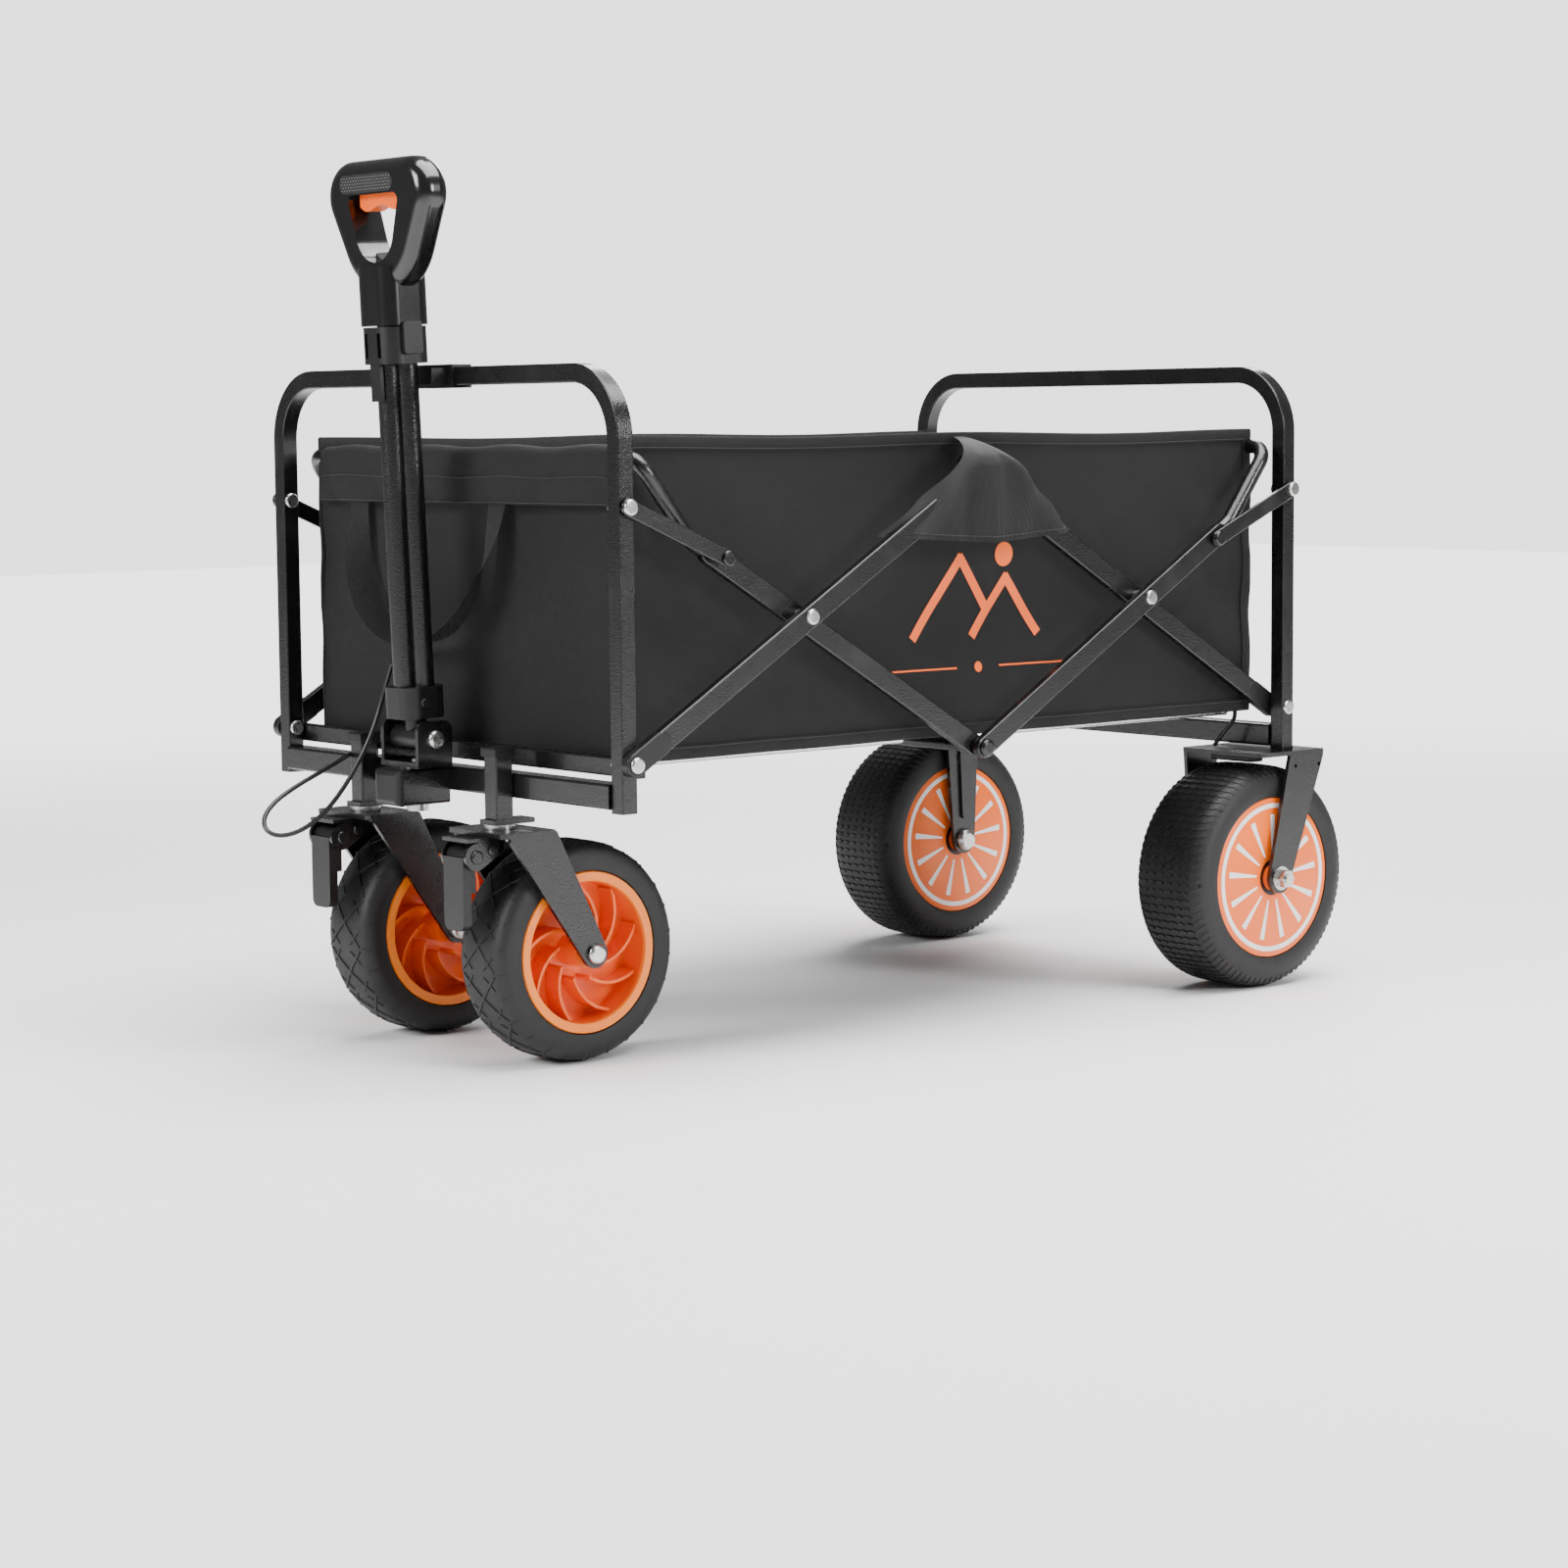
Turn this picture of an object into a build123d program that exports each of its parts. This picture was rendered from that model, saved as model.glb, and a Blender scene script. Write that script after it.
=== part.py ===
"""Folding camp wagon: two hoop frames joined by double scissor sides, a fabric basket, swivelling front
casters with foot brakes, fixed rear wheels with cable brakes, and a telescopic pull handle.

Millimetres. +X runs from the front hoop to the rear hoop, +Z is up, and the ground is z = 0.
Pieces are drawn with x = 0 on the front hoop's plane; main() moves them so that the origin is under the middle."""

from build123d import *
import math
import os

# Hoop frames
hoop_tube = 15.0  # square tube of both hoops
tube_wall = 1.5
half_track = 240.0  # middle of an upright, from the middle of the wagon
frame_length = 765.0  # front hoop plane to rear hoop plane, opened out
upright_bottom = 219.0
hoop_top = 570.0
hoop_corner = 52.0  # bend radius on the tube's middle line
cross_depth = 20.0
cross_height = 20.0
cross_bottom = 222.0

# Scissor sides
pivot_height = 258.0  # front and rear lower pivots
arm_lower = 211.0  # lower pivot to crossing
arm_upper = 234.3  # crossing to the middle pivot, on either arm
arm_width = 18.0
arm_thick = 8.0
layer_gap = 1.0
link_rise = 200.0  # link pivot above the lower pivot
link_reach = 97.0  # crossing to the link's pivot on the bent arm
link_width = 14.0
link_thick = 3.5
pin_radius = 3.0
pin_clearance = 0.05
open_clearance = 0.4  # radial, at pivots that the joint tree leaves open
rivet_head = 6.5
head_height = 2.5
fold_angle = 48.0  # turn of the scissor arms from open to folded
corner_x = 22.0  # middle of the basket's top tube, behind the hoop plane
corner_z = 497.0

# Basket
basket_top = 512.0
basket_bottom = 256.0
fabric_thick = 1.6
side_fabric_y = 217.0  # outer face of a side panel
floor_thick = 3.0
floor_half_length = 299.0
floor_gap = 1.0
link_turn = 2.09  # links turn this much per turn of a scissor arm
floor_turn = 1.85  # floor halves turn this much per turn of a scissor arm
floor_rod = 6.0

# Front casters
caster_y = 97.5
caster_x = -18.5  # swivel axis, a post in front of the cross tube
caster_trail = 66.5
front_wheel_radius = 92.0
front_wheel_width = 62.0
post_size = 17.0
post_bottom = 205.0
post_top = 256.0
fork_top = 197.0
fork_plate = 4.0
fork_inside = 71.0  # between a fork's legs

# Rear wheels
rear_wheel_radius = 103.0
rear_wheel_width = 84.0
rear_axle_x = frame_length - 24.0
rear_wheel_y = 211.0
rear_inside = 92.0  # between a rear fork's arms
rear_plate = 4.0

# Steering and handle
yoke_inside = 46.0
yoke_plate = 4.0
box_width = 34.0
box_top = 241.5
box_height = 30.0
box_front = -56.0
steer_x = -31.0
barrel_z = 266.0
handle_lean = 2.35  # degrees towards the front when parked
lobe_radius = 9.5
lobe_offset = 8.5
shaft_bottom = 305.0
collar_bottom = 573.0
collar_top = 603.0
neck_top = 640.0
grip_top = 738.0
telescope_travel = 240.0

axle_radius = 5.0
side_names = {-1: "near", 1: "far"}

# Worked out
arm_angle = math.acos(frame_length / 2 / (arm_lower + arm_upper))
cos_a, sin_a = math.cos(arm_angle), math.sin(arm_angle)
upright_out = half_track + hoop_tube / 2
upright_in = half_track - hoop_tube / 2
outer_y = upright_out + layer_gap  # inner face of the outer straight arm
d_y = upright_out - arm_thick  # inner face of the rear bent arm
b_y = d_y - layer_gap - arm_thick  # inner face of the front bent arm
c_y = b_y - layer_gap - arm_thick + 0.5  # inner face of the rear straight arm
cross_x = arm_lower * cos_a
cross_z = pivot_height + arm_lower * sin_a
middle_x = frame_length / 2
top_pivot_z = pivot_height + (arm_lower + arm_upper) * sin_a
low_pivot_z = cross_z - arm_upper * sin_a
link_end_x = cross_x - link_reach * cos_a
link_end_z = cross_z + link_reach * sin_a
link_z = pivot_height + link_rise
front_axle_x = caster_x + caster_trail


def block(x0, x1, y0, y1, z0, z1):
    """A box given by its faces."""
    middle = ((x0 + x1) / 2, (y0 + y1) / 2, (z0 + z1) / 2)
    return Pos(*middle) * Box(abs(x1 - x0), abs(y1 - y0), abs(z1 - z0))


def rod_y(x, z, y0, y1, radius):
    """A round bar along Y."""
    return Pos(x, (y0 + y1) / 2, z) * Rot(90, 0, 0) * Cylinder(radius, abs(y1 - y0))


def rod_x(y, z, x0, x1, radius):
    """A round bar along X."""
    return Pos((x0 + x1) / 2, y, z) * Rot(0, 90, 0) * Cylinder(radius, abs(x1 - x0))


def rod_z(x, y, z0, z1, radius):
    """A round bar along Z."""
    return Pos(x, y, (z0 + z1) / 2) * Cylinder(radius, abs(z1 - z0))


def head_y(x, z, y, side, radius=rivet_head, height=head_height):
    """A domed rivet or bolt head standing outwards from y."""
    disc = rod_y(x, z, y, y + side * height, radius)
    return fillet(disc.edges().filter_by(GeomType.CIRCLE).sort_by(Axis.Y)[-1 if side > 0 else 0], height * 0.7)


def bent_tube(points, radius, width, height, wall):
    """A rectangular tube, width across Y where it runs along X or Z, bent at each inner point."""
    path = FilletPolyline(*points, radius=radius)
    start = path @ 0
    along = path % 0
    plane = Plane(origin=start, z_dir=along, x_dir=(0, 0, 1) if abs(along.Z) < 0.9 else (1, 0, 0))
    outer = sweep(plane * RectangleRounded(height, width, 1.2), path)
    inner = sweep(plane * Rectangle(height - 2 * wall, width - 2 * wall), path)
    return outer - inner


def hoop(x):
    """An upside-down U of square tube in the plane x."""
    top = hoop_top - hoop_tube / 2
    points = [(x, -half_track, upright_bottom), (x, -half_track, top)]
    points += [(x, half_track, top), (x, half_track, upright_bottom)]
    return bent_tube(points, hoop_corner, hoop_tube, hoop_tube, tube_wall)


def cross_tube(x):
    """The deep rectangular tube welded between a hoop's uprights."""
    z0, z1 = cross_bottom, cross_bottom + cross_height
    shell = block(x - cross_depth / 2, x + cross_depth / 2, -upright_in, upright_in, z0, z1)
    shell = fillet(shell.edges().filter_by(Axis.Y), 2)
    bore = block(x - cross_depth / 2 + tube_wall, x + cross_depth / 2 - tube_wall, -upright_in, upright_in,
                 z0 + tube_wall, z1 - tube_wall)
    return shell - bore


def flat_arm(p, q, y0, width, thick, wall):
    """A flat oval tube from p to q, given as (x, z), between the faces y0 and y0 + thick."""
    middle = Vector((p[0] + q[0]) / 2, y0, (p[1] + q[1]) / 2)
    run = Vector(q[0] - p[0], 0, q[1] - p[1])
    plane = Plane(origin=middle, x_dir=run, z_dir=(0, 1, 0))
    outer = extrude(plane * SlotCenterToCenter(run.length, width), thick)
    outer = fillet(outer.edges().group_by(Axis.Y)[0] + outer.edges().group_by(Axis.Y)[-1], 1.2)
    if not wall:
        return outer
    inner = Pos(0, wall, 0) * extrude(plane * SlotCenterToCenter(run.length, width - 2 * wall), thick - 2 * wall)
    return outer - inner


def side_y(side, y0, y1):
    """The lower and upper Y of a layer that lies between y0 and y1 from the middle, on one side."""
    return (y0, y1) if side > 0 else (-y1, -y0)


def pin(x, z, side, y0, y1, radius=pin_radius):
    """A rivet's shank and its two domed heads, between the distances y0 and y1 from the middle."""
    shank = rod_y(x, z, side * (y0 - 0.5), side * (y1 + 0.5), radius)
    return shank + head_y(x, z, side * y1, side) + head_y(x, z, side * y0, -side)


def bored(part, x, z, radius, y_span=300.0):
    """The part with a hole along Y at x, z, on whichever side of the wagon it lies."""
    return part - rod_y(x, z, -y_span, y_span, radius)


def rear(x):
    """The mirror image of x about the middle of the opened wagon."""
    return frame_length - x


def straight_arm(side, y0, at_front):
    """A straight scissor arm, from a lower pivot to the top middle pivot."""
    place = (lambda v: v) if at_front else rear
    low, _ = side_y(side, y0, y0 + arm_thick)
    arm = flat_arm((place(0.0), pivot_height), (middle_x, top_pivot_z), low, arm_width, arm_thick, tube_wall)
    near = side < 0
    tight, loose = pin_radius + pin_clearance, pin_radius + open_clearance
    low_hole = tight if at_front or near else loose
    arm = bored(arm, place(0.0), pivot_height, low_hole)
    arm = bored(arm, place(cross_x), cross_z, pin_radius)
    return bored(arm, middle_x, top_pivot_z, pin_radius if at_front else tight)


def bent_frame(y0, at_front):
    """A U of tube: two flattened legs from the low middle pivots, joined across the top of the basket."""
    place = (lambda v: v) if at_front else rear
    tube_radius = 6.5
    outer = y0 + arm_thick
    tube_y = outer - tube_radius
    flat_end = link_reach + 8.0
    end = (cross_x - flat_end * cos_a, cross_z + flat_end * sin_a)
    knee = (cross_x - 124.0 * cos_a, cross_z + 124.0 * sin_a)
    begin = (cross_x - 94.0 * cos_a, cross_z + 94.0 * sin_a)
    points = [(place(begin[0]), -tube_y, begin[1]), (place(knee[0]), -tube_y, knee[1]),
              (place(corner_x), -tube_y, corner_z), (place(corner_x), tube_y, corner_z),
              (place(knee[0]), tube_y, knee[1]), (place(begin[0]), tube_y, begin[1])]
    path = FilletPolyline(*points, radius=19.0)
    disc = Plane(origin=path @ 0, z_dir=path % 0)
    frame = sweep(disc * Circle(tube_radius), path) - sweep(disc * Circle(tube_radius - tube_wall), path)
    for side in (-1, 1):
        low, _ = side_y(side, y0, outer)
        leg = flat_arm((middle_x, low_pivot_z), (place(end[0]), end[1]), low, arm_width, arm_thick, tube_wall)
        frame += leg
    tight = pin_radius + pin_clearance
    loose = pin_radius + open_clearance
    span = 300.0
    near_hole = rod_y(place(cross_x), cross_z, -span, 0, tight)
    far_hole = rod_y(place(cross_x), cross_z, 0, span, loose)
    frame -= near_hole + far_hole
    return bored(frame, middle_x, low_pivot_z, pin_radius if at_front else loose)


def arm_cap(p, q, y0):
    """A black end cap pushed over the last stretch of a flat arm at p."""
    run = Vector(q[0] - p[0], 0, q[1] - p[1]).normalized()
    reach, grow = 30.0, 0.4
    tip = (p[0] + run.X * reach, p[1] + run.Z * reach)
    cap = flat_arm(p, tip, y0 - grow, arm_width + 2 * grow, arm_thick + 2 * grow, 0)
    return cap - flat_arm(p, q, y0, arm_width, arm_thick, 0)


def link(side, at_front):
    """The flat link from an upright to the bent arm, with the stub rivet at its free end."""
    place = (lambda v: v) if at_front else rear
    y0 = outer_y + 0.2
    low, _ = side_y(side, y0, y0 + link_thick)
    bar = flat_arm((place(0.0), link_z), (place(link_end_x), link_end_z), low, link_width, link_thick, 0)
    bar = bored(bar, place(0.0), link_z, pin_radius + pin_clearance)
    inner = b_y + arm_thick if at_front else d_y + arm_thick
    stub = rod_y(place(link_end_x), link_end_z, side * (inner + 0.3), side * (y0 + 0.4), 5.0)
    return bar + stub + head_y(place(link_end_x), link_end_z, side * (y0 + link_thick), side)


def scissor_nodes():
    """Arms, bent frames, links, caps and rivets of both sides."""
    nodes = {}
    nodes["front_bent_frame"] = bent_frame(b_y, True)
    nodes["rear_bent_frame"] = bent_frame(d_y, False)
    arm_out = outer_y + arm_thick
    for side, name in side_names.items():
        near = side < 0
        tight = pin_radius + pin_clearance
        nodes[f"front_arm_{name}"] = straight_arm(side, outer_y, True)
        nodes[f"rear_arm_{name}"] = straight_arm(side, c_y, False)
        low_a, _ = side_y(side, outer_y, arm_out)
        low_c, _ = side_y(side, c_y, c_y + arm_thick)
        top = (middle_x, top_pivot_z)
        cap = arm_cap((0.0, pivot_height), top, low_a)
        nodes[f"front_arm_cap_{name}"] = bored(cap, 0.0, pivot_height, tight)
        cap = arm_cap((frame_length, pivot_height), top, low_c)
        nodes[f"rear_arm_cap_{name}"] = bored(cap, frame_length, pivot_height, pin_radius + open_clearance)
        cross = pin(cross_x, cross_z, side, b_y, arm_out)
        cross += rod_y(cross_x, cross_z, side * (b_y + arm_thick + 0.3), side * outer_y, 6.0)
        middle = pin(middle_x, top_pivot_z, side, c_y, arm_out)
        middle += rod_y(middle_x, top_pivot_z, side * (c_y + arm_thick + 0.3), side * outer_y, 6.0)
        nodes[f"front_arm_rivets_{name}"] = Compound(children=[cross, middle])
        second = pin(rear(cross_x), cross_z, side, c_y, d_y + arm_thick)
        second += rod_y(rear(cross_x), cross_z, side * (c_y + arm_thick), side * (d_y - 0.3), 6.0)
        nodes[f"rear_arm_rivet_{name}"] = second
        nodes[f"front_link_{name}"] = link(side, True)
        nodes[f"rear_link_{name}"] = link(side, False)
    tube = rod_y(middle_x, low_pivot_z, -b_y, b_y, 5.0)
    for side in (-1, 1):
        tube += rod_y(middle_x, low_pivot_z, side * (b_y - 1), side * (d_y + arm_thick + 1), pin_radius)
        tube += head_y(middle_x, low_pivot_z, side * (d_y + arm_thick + 0.3), side, 7.5, 4.5)
    nodes["centre_tube"] = tube
    return nodes


def frame_nodes():
    """Both hoops with what is welded or bolted to them."""
    nodes = {}
    front = hoop(0.0)
    back = hoop(frame_length)
    for x in (0.0, frame_length):
        holes = rod_y(x, pivot_height, -300, 300, pin_radius) + rod_y(x, link_z, -300, 300, pin_radius)
        if x:
            back -= holes
        else:
            front -= holes
    nodes["front_hoop"] = front
    nodes["rear_hoop"] = back
    nodes["front_cross_tube"] = cross_tube(0.0)
    nodes["rear_cross_tube"] = cross_tube(frame_length)
    face = hoop_tube / 2
    bar = block(face, face + 9.0, -upright_out + 1.5, upright_out - 1.5, 246.0, 261.0)
    bar = fillet(bar.edges().filter_by(Axis.Y), 1.5)
    nodes["front_floor_bar"] = bar
    front_bolts, link_pins, rear_pins = [], [], []
    arm_out = outer_y + arm_thick
    for side in (-1, 1):
        bolt = pin(0.0, pivot_height, side, upright_in, arm_out + 0.5)
        washer = rod_y(0.0, pivot_height, side * upright_out, side * (outer_y - 0.45), 6.0)
        front_bolts.append(bolt + washer)
        plate_out = outer_y + 0.2 + link_thick
        link_pins.append(pin(0.0, link_z, side, upright_in, plate_out + 0.2, pin_radius))
        rear_pins.append(pin(frame_length, link_z, side, upright_in, plate_out + 0.2, pin_radius))
        rear_pins.append(pin(frame_length, pivot_height, side, c_y - 0.5, upright_out))
    nodes["front_pivot_bolts"] = Compound(children=front_bolts)
    nodes["front_link_rivets"] = Compound(children=link_pins)
    nodes["rear_pivot_rivets"] = Compound(children=rear_pins)
    return nodes


def basket_nodes():
    """The fabric basket: sleeved end panels, side panels, floor halves with their rods, and the centre band."""
    nodes = {}
    half = side_fabric_y - fabric_thick
    for name, place in (("front", lambda v: v), ("rear", rear)):
        x0, x1 = sorted((place(corner_x - 8.5), place(corner_x + 8.5)))
        sleeve = block(x0, x1, -203.0, 203.0, corner_z - 10.0, basket_top)
        sleeve = fillet(sleeve.edges().filter_by(Axis.Y), 6.0)
        wall = block(place(corner_x - 2.0), place(corner_x - 2.0 + fabric_thick), -half + 0.4, half - 0.4,
                     basket_bottom + 4.0, corner_z - 4.0)
        hem = block(place(corner_x - 2.0), place(corner_x + 10.0), -half + 0.4, half - 0.4,
                    basket_bottom + 3.8, basket_bottom + 3.8 + fabric_thick)
        panel = sleeve + wall + hem
        nodes[f"basket_{name}_panel"] = panel - rod_y(place(corner_x), corner_z, -220, 220, 6.5 + 0.4)
        hinge = corner_x + 12.0
        board = block(place(hinge - 3.0), place(hinge + floor_half_length), -half + 1.5, half - 1.5,
                      basket_bottom + 0.5, basket_bottom + 0.5 + floor_thick)
        nodes[f"floor_{name}_half"] = board
        z = basket_bottom + 0.5 - floor_rod / 2
        bars = rod_y(place(hinge + 4.0), z, -205.0, 205.0, floor_rod / 2)
        bars += Pos(place(hinge + 4.0), 205.0, z) * Sphere(floor_rod / 2 + 1.2) & block(
            place(hinge + 4.0) - 9, place(hinge + 4.0) + 9, 190, 220, z - 9, z + floor_rod / 2)
        for side in (-1, 1):
            bars += rod_x(side * 201.0, z, place(hinge + 4.0), place(hinge + floor_half_length - 6), floor_rod / 2)
        nodes[f"floor_{name}_rods"] = bars
    start = corner_x + 12.0 + floor_half_length + floor_gap
    nodes["floor_centre_band"] = block(start, rear(start), -half + 1.5, half - 1.5,
                                       basket_bottom + 0.5, basket_bottom + 0.5 + floor_thick)
    for side, name in side_names.items():
        low, high = side_y(side, half, side_fabric_y)
        panel = block(corner_x - 2.0, rear(corner_x - 2.0), low, high, basket_bottom, basket_top)
        panel = bored(panel, corner_x, corner_z, 7.5)
        nodes[f"basket_side_{name}"] = bored(panel, rear(corner_x), corner_z, 7.5)
    return nodes


def xz_plate(sketch, y0, y1):
    """A flat outline, drawn as x and z, made solid between y0 and y1."""
    plane = Plane(origin=(0, max(y0, y1), 0), x_dir=(1, 0, 0), z_dir=(0, -1, 0))
    return extrude(plane * sketch, abs(y1 - y0))


def tapered_leg(x_top, width, z_top, x_low, z_low, end_radius):
    """A leg's outline: a straight top edge narrowing to a round end."""
    top = Pos(x_top, z_top - 3) * Rectangle(width, 6)
    return make_hull((top.edges() + (Pos(x_low, z_low) * Circle(end_radius)).edges()))


def wheel_body(x, z, y0, width, inner_radius, outer_radius, corner):
    """A ring with rounded shoulders about an axle along Y, centred on y0."""
    middle = (inner_radius + outer_radius) / 2
    section = Pos(middle, 0) * RectangleRounded(outer_radius - inner_radius, width, corner)
    ring = revolve(section, Axis.Y)
    return Pos(x, y0, z) * ring


def front_hub(x, z, y0):
    """Orange hub: rim, web, boss and curved fins on both faces."""
    rim_out, rim_in, boss, web = 67.0, 59.0, 13.0, 5.0
    width = front_wheel_width - 4.0
    hub = rod_y(x, z, y0 - width / 2, y0 + width / 2, rim_out) - rod_y(x, z, y0 - width, y0 + width, rim_in)
    hub += rod_y(x, z, y0 - web / 2, y0 + web / 2, rim_in + 1)
    hub += rod_y(x, z, y0 - width / 2, y0 + width / 2, boss)
    reach = 44.0
    ring = Pos(reach / 2 + 8, 14) * (Circle(reach) - Circle(reach - 2.4))
    ring &= Pos(reach / 2 + 8, -30) * Rectangle(reach + 2, 60)
    fins = Sketch() + [Rot(0, 0, 40 * turn) * ring for turn in range(9)]
    fins &= Circle(rim_in + 0.5) - Circle(boss - 1)
    depth = width / 2 - 8
    hub += xz_plate(Pos(x, z) * fins, y0 - depth, y0 + depth)
    return hub - rod_y(x, z, y0 - width, y0 + width, axle_radius + pin_clearance)


def caster_nodes():
    """Two swivelling forks with wheels, foot brakes and the posts they hang from."""
    nodes = {}
    posts, caps, races = [], [], []
    face = -cross_depth / 2
    for side, name in side_names.items():
        y = side * caster_y
        half = post_size / 2
        post = block(caster_x - half, caster_x + half, y - half, y + half, post_bottom, post_top)
        post = fillet(post.edges().filter_by(Axis.Z), 1.5)
        strip = block(caster_x - 12, cross_depth / 2, y - 10, y + 10, post_bottom - 4, post_bottom)
        strip -= rod_z(caster_x, y, 190, 215, 4.0)
        posts += [post, strip]
        grow = half + 1.5
        cap = block(caster_x - grow, caster_x + grow, y - grow, y + grow, post_top, post_top + 8)
        caps.append(fillet(cap.edges().group_by(Axis.Z)[-1], 2.0))
        kingpin = rod_z(caster_x, y, fork_top - fork_plate - 1, post_bottom, 4.0)
        kingpin += rod_z(caster_x, y, fork_top - fork_plate - 6, fork_top - fork_plate - 0.3, 8.0)
        race = rod_z(caster_x, y, fork_top + 0.3, post_bottom - 4, 13.0) - rod_z(caster_x, y, 190, 210, 4.0)
        races += [kingpin, race]
        out = fork_inside / 2 + fork_plate
        plate = block(caster_x - 24, caster_x + 30, y - out, y + out, fork_top - fork_plate, fork_top)
        plate = fillet(plate.edges().filter_by(Axis.Z), 5.0)
        fork = plate - rod_z(caster_x, y, 180, 210, 4.0 + pin_clearance)
        outline = tapered_leg(caster_x + 6, 46, fork_top - 1, front_axle_x, front_wheel_radius, 12.0)
        for leg in (-1, 1):
            y0, y1 = y + leg * fork_inside / 2, y + leg * out
            fork += xz_plate(outline, y0, y1)
        nodes[f"caster_fork_{name}"] = bored(fork, front_axle_x, front_wheel_radius, axle_radius)
        bolt = rod_y(front_axle_x, front_wheel_radius, y - out - 1, y + out + 1, axle_radius)
        bolt += head_y(front_axle_x, front_wheel_radius, y - out, -1, 8.5, 5.0)
        bolt += head_y(front_axle_x, front_wheel_radius, y + out, 1, 8.5, 5.0)
        nodes[f"caster_axle_{name}"] = bolt
        nodes[f"caster_hub_{name}"] = front_hub(front_axle_x, front_wheel_radius, y)
        nodes[f"caster_tyre_{name}"] = wheel_body(front_axle_x, front_wheel_radius, y, front_wheel_width,
                                                  67.0, front_wheel_radius, 11.0)
        nodes[f"brake_bracket_{name}"] = brake_bracket(y)
        nodes[f"brake_pedal_{name}"] = brake_pedal(y)
    nodes["caster_posts"] = Compound(children=posts)
    nodes["caster_post_caps"] = Compound(children=caps)
    nodes["caster_kingpins"] = Compound(children=races)
    return nodes


pedal_x = caster_x - 35.0
pedal_z = 178.0
pedal_width = 27.0


def brake_bracket(y):
    """Two riveted ear plates and the hood over them, fixed under a caster fork's front edge."""
    half = pedal_width / 2 + 1.0
    outline = make_hull((Pos(pedal_x, pedal_z) * Circle(11)).edges() + (Pos(caster_x - 16, pedal_z + 8) * Circle(8)).edges())
    low = fork_top - fork_plate
    bracket = block(pedal_x - 9, caster_x - 8, y - half - 3, y + half + 3, low - 3, low)
    for side in (-1, 1):
        bracket += xz_plate(outline, y + side * half, y + side * (half + 3))
        bracket += head_y(caster_x - 20, pedal_z + 5, y + side * (half + 3), side, 4.0, 1.8)
    under = block(pedal_x - 40, caster_x + 40, y - 60, y + 60, low, low + 40)
    bracket -= under
    bracket += rod_y(pedal_x, pedal_z, y - half - 1, y + half + 1, 3.5)
    bracket += head_y(pedal_x, pedal_z, y - half - 3, -1, 5.5, 2.4)
    return bracket + head_y(pedal_x, pedal_z, y + half + 3, 1, 5.5, 2.4)


def brake_pedal(y):
    """Black plastic pedal hanging from the bracket's pin in front of the tyre."""
    half = pedal_width / 2
    knuckle = rod_y(pedal_x, pedal_z, y - half, y + half, 8.0)
    pad = block(pedal_x - 11, pedal_x - 3, y - half, y + half, pedal_z - 60, pedal_z)
    pad = fillet(pad.edges().filter_by(Axis.X).group_by(Axis.Z)[0], 7.0)
    neck = block(pedal_x - 8, pedal_x + 4, y - half + 4, y + half - 4, pedal_z - 30, pedal_z)
    return knuckle + pad + neck - rod_y(pedal_x, pedal_z, y - 40, y + 40, 3.5 + pin_clearance)


def rear_wheel_nodes():
    """Rear fork plates and arms, axles, hubs, tyres and the cable brake shoes."""
    nodes = {}
    top = upright_bottom
    x, z = rear_axle_x, rear_wheel_radius
    for side, name in side_names.items():
        y = side * rear_wheel_y
        half = rear_inside / 2
        plate = block(x - 26, x + 58, y - side * (half + 4), y + side * (half + 4), top - rear_plate, top)
        plate = fillet(plate.edges().filter_by(Axis.Z), 4.0)
        outer = xz_plate(tapered_leg(x + 36, 44, top, x, z, 14.0), y + side * half, y + side * (half + 4))
        inner = xz_plate(tapered_leg(x - 2, 42, top, x, z, 14.0), y - side * half, y - side * (half + 4))
        for dx in (20.0, 52.0):
            outer -= rod_y(x + dx, top - 14, y + side * (half - 5), y + side * (half + 9), 1.8)
        rib = xz_plate(tapered_leg(x - 2, 12, top - 20, x, z + 26, 5.0), y - side * (half + 4), y - side * (half + 7))
        fork = bored(plate + outer + inner + rib, x, z, axle_radius)
        nodes[f"rear_fork_{name}"] = fork
        out = y + side * (half + 4)
        inn = y - side * (half + 4)
        bolt = rod_y(x, z, inn - side * 1, out + side * 12, axle_radius)
        washer = rod_y(x, z, out, out + side * 1.6, 11.0)
        nut = Pos(x, out + side * 5.6, z) * Rot(90, 0, 0) * extrude(RegularPolygon(8.5, 6), 4, both=True)
        bolt += washer + nut + head_y(x, z, inn, -side, 11.0, 7.0)
        nodes[f"rear_axle_{name}"] = bolt
        width = rear_wheel_width
        hub = wheel_body(x, z, y, width - 6, 24.0, 74.0, 3.0)
        hub += rod_y(x, z, y - width / 2 - 2, y + width / 2 + 2, 12.0)
        hub += rod_y(x, z, y - 5, y + 5, 30.0)
        nodes[f"rear_hub_{name}"] = bored(hub, x, z, axle_radius + pin_clearance)
        nodes[f"rear_tyre_{name}"] = wheel_body(x, z, y, width, 74.0, rear_wheel_radius, 14.0)
        shoe = block(x - 14, x + 4, y - 24, y + 24, z + rear_wheel_radius + 2.6, top - rear_plate - 0.3)
        nodes[f"brake_shoe_{name}"] = fillet(shoe.edges().filter_by(Axis.Y), 2.0)
    return nodes


def leaned(part):
    """A handle piece tipped from upright to its parked lean about the tilt pivot."""
    pivot = (steer_x, 0, barrel_z)
    return Pos(*pivot) * Rot(0, -handle_lean, 0) * Pos(-pivot[0], 0, -pivot[2]) * part


def trefoil(radius, offset):
    """Three overlapping circles, one towards the front."""
    lobes = [Rot(0, 0, 180 + turn) * Pos(offset, 0) * Circle(radius) for turn in (0, 120, 240)]
    return Sketch() + lobes


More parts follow.
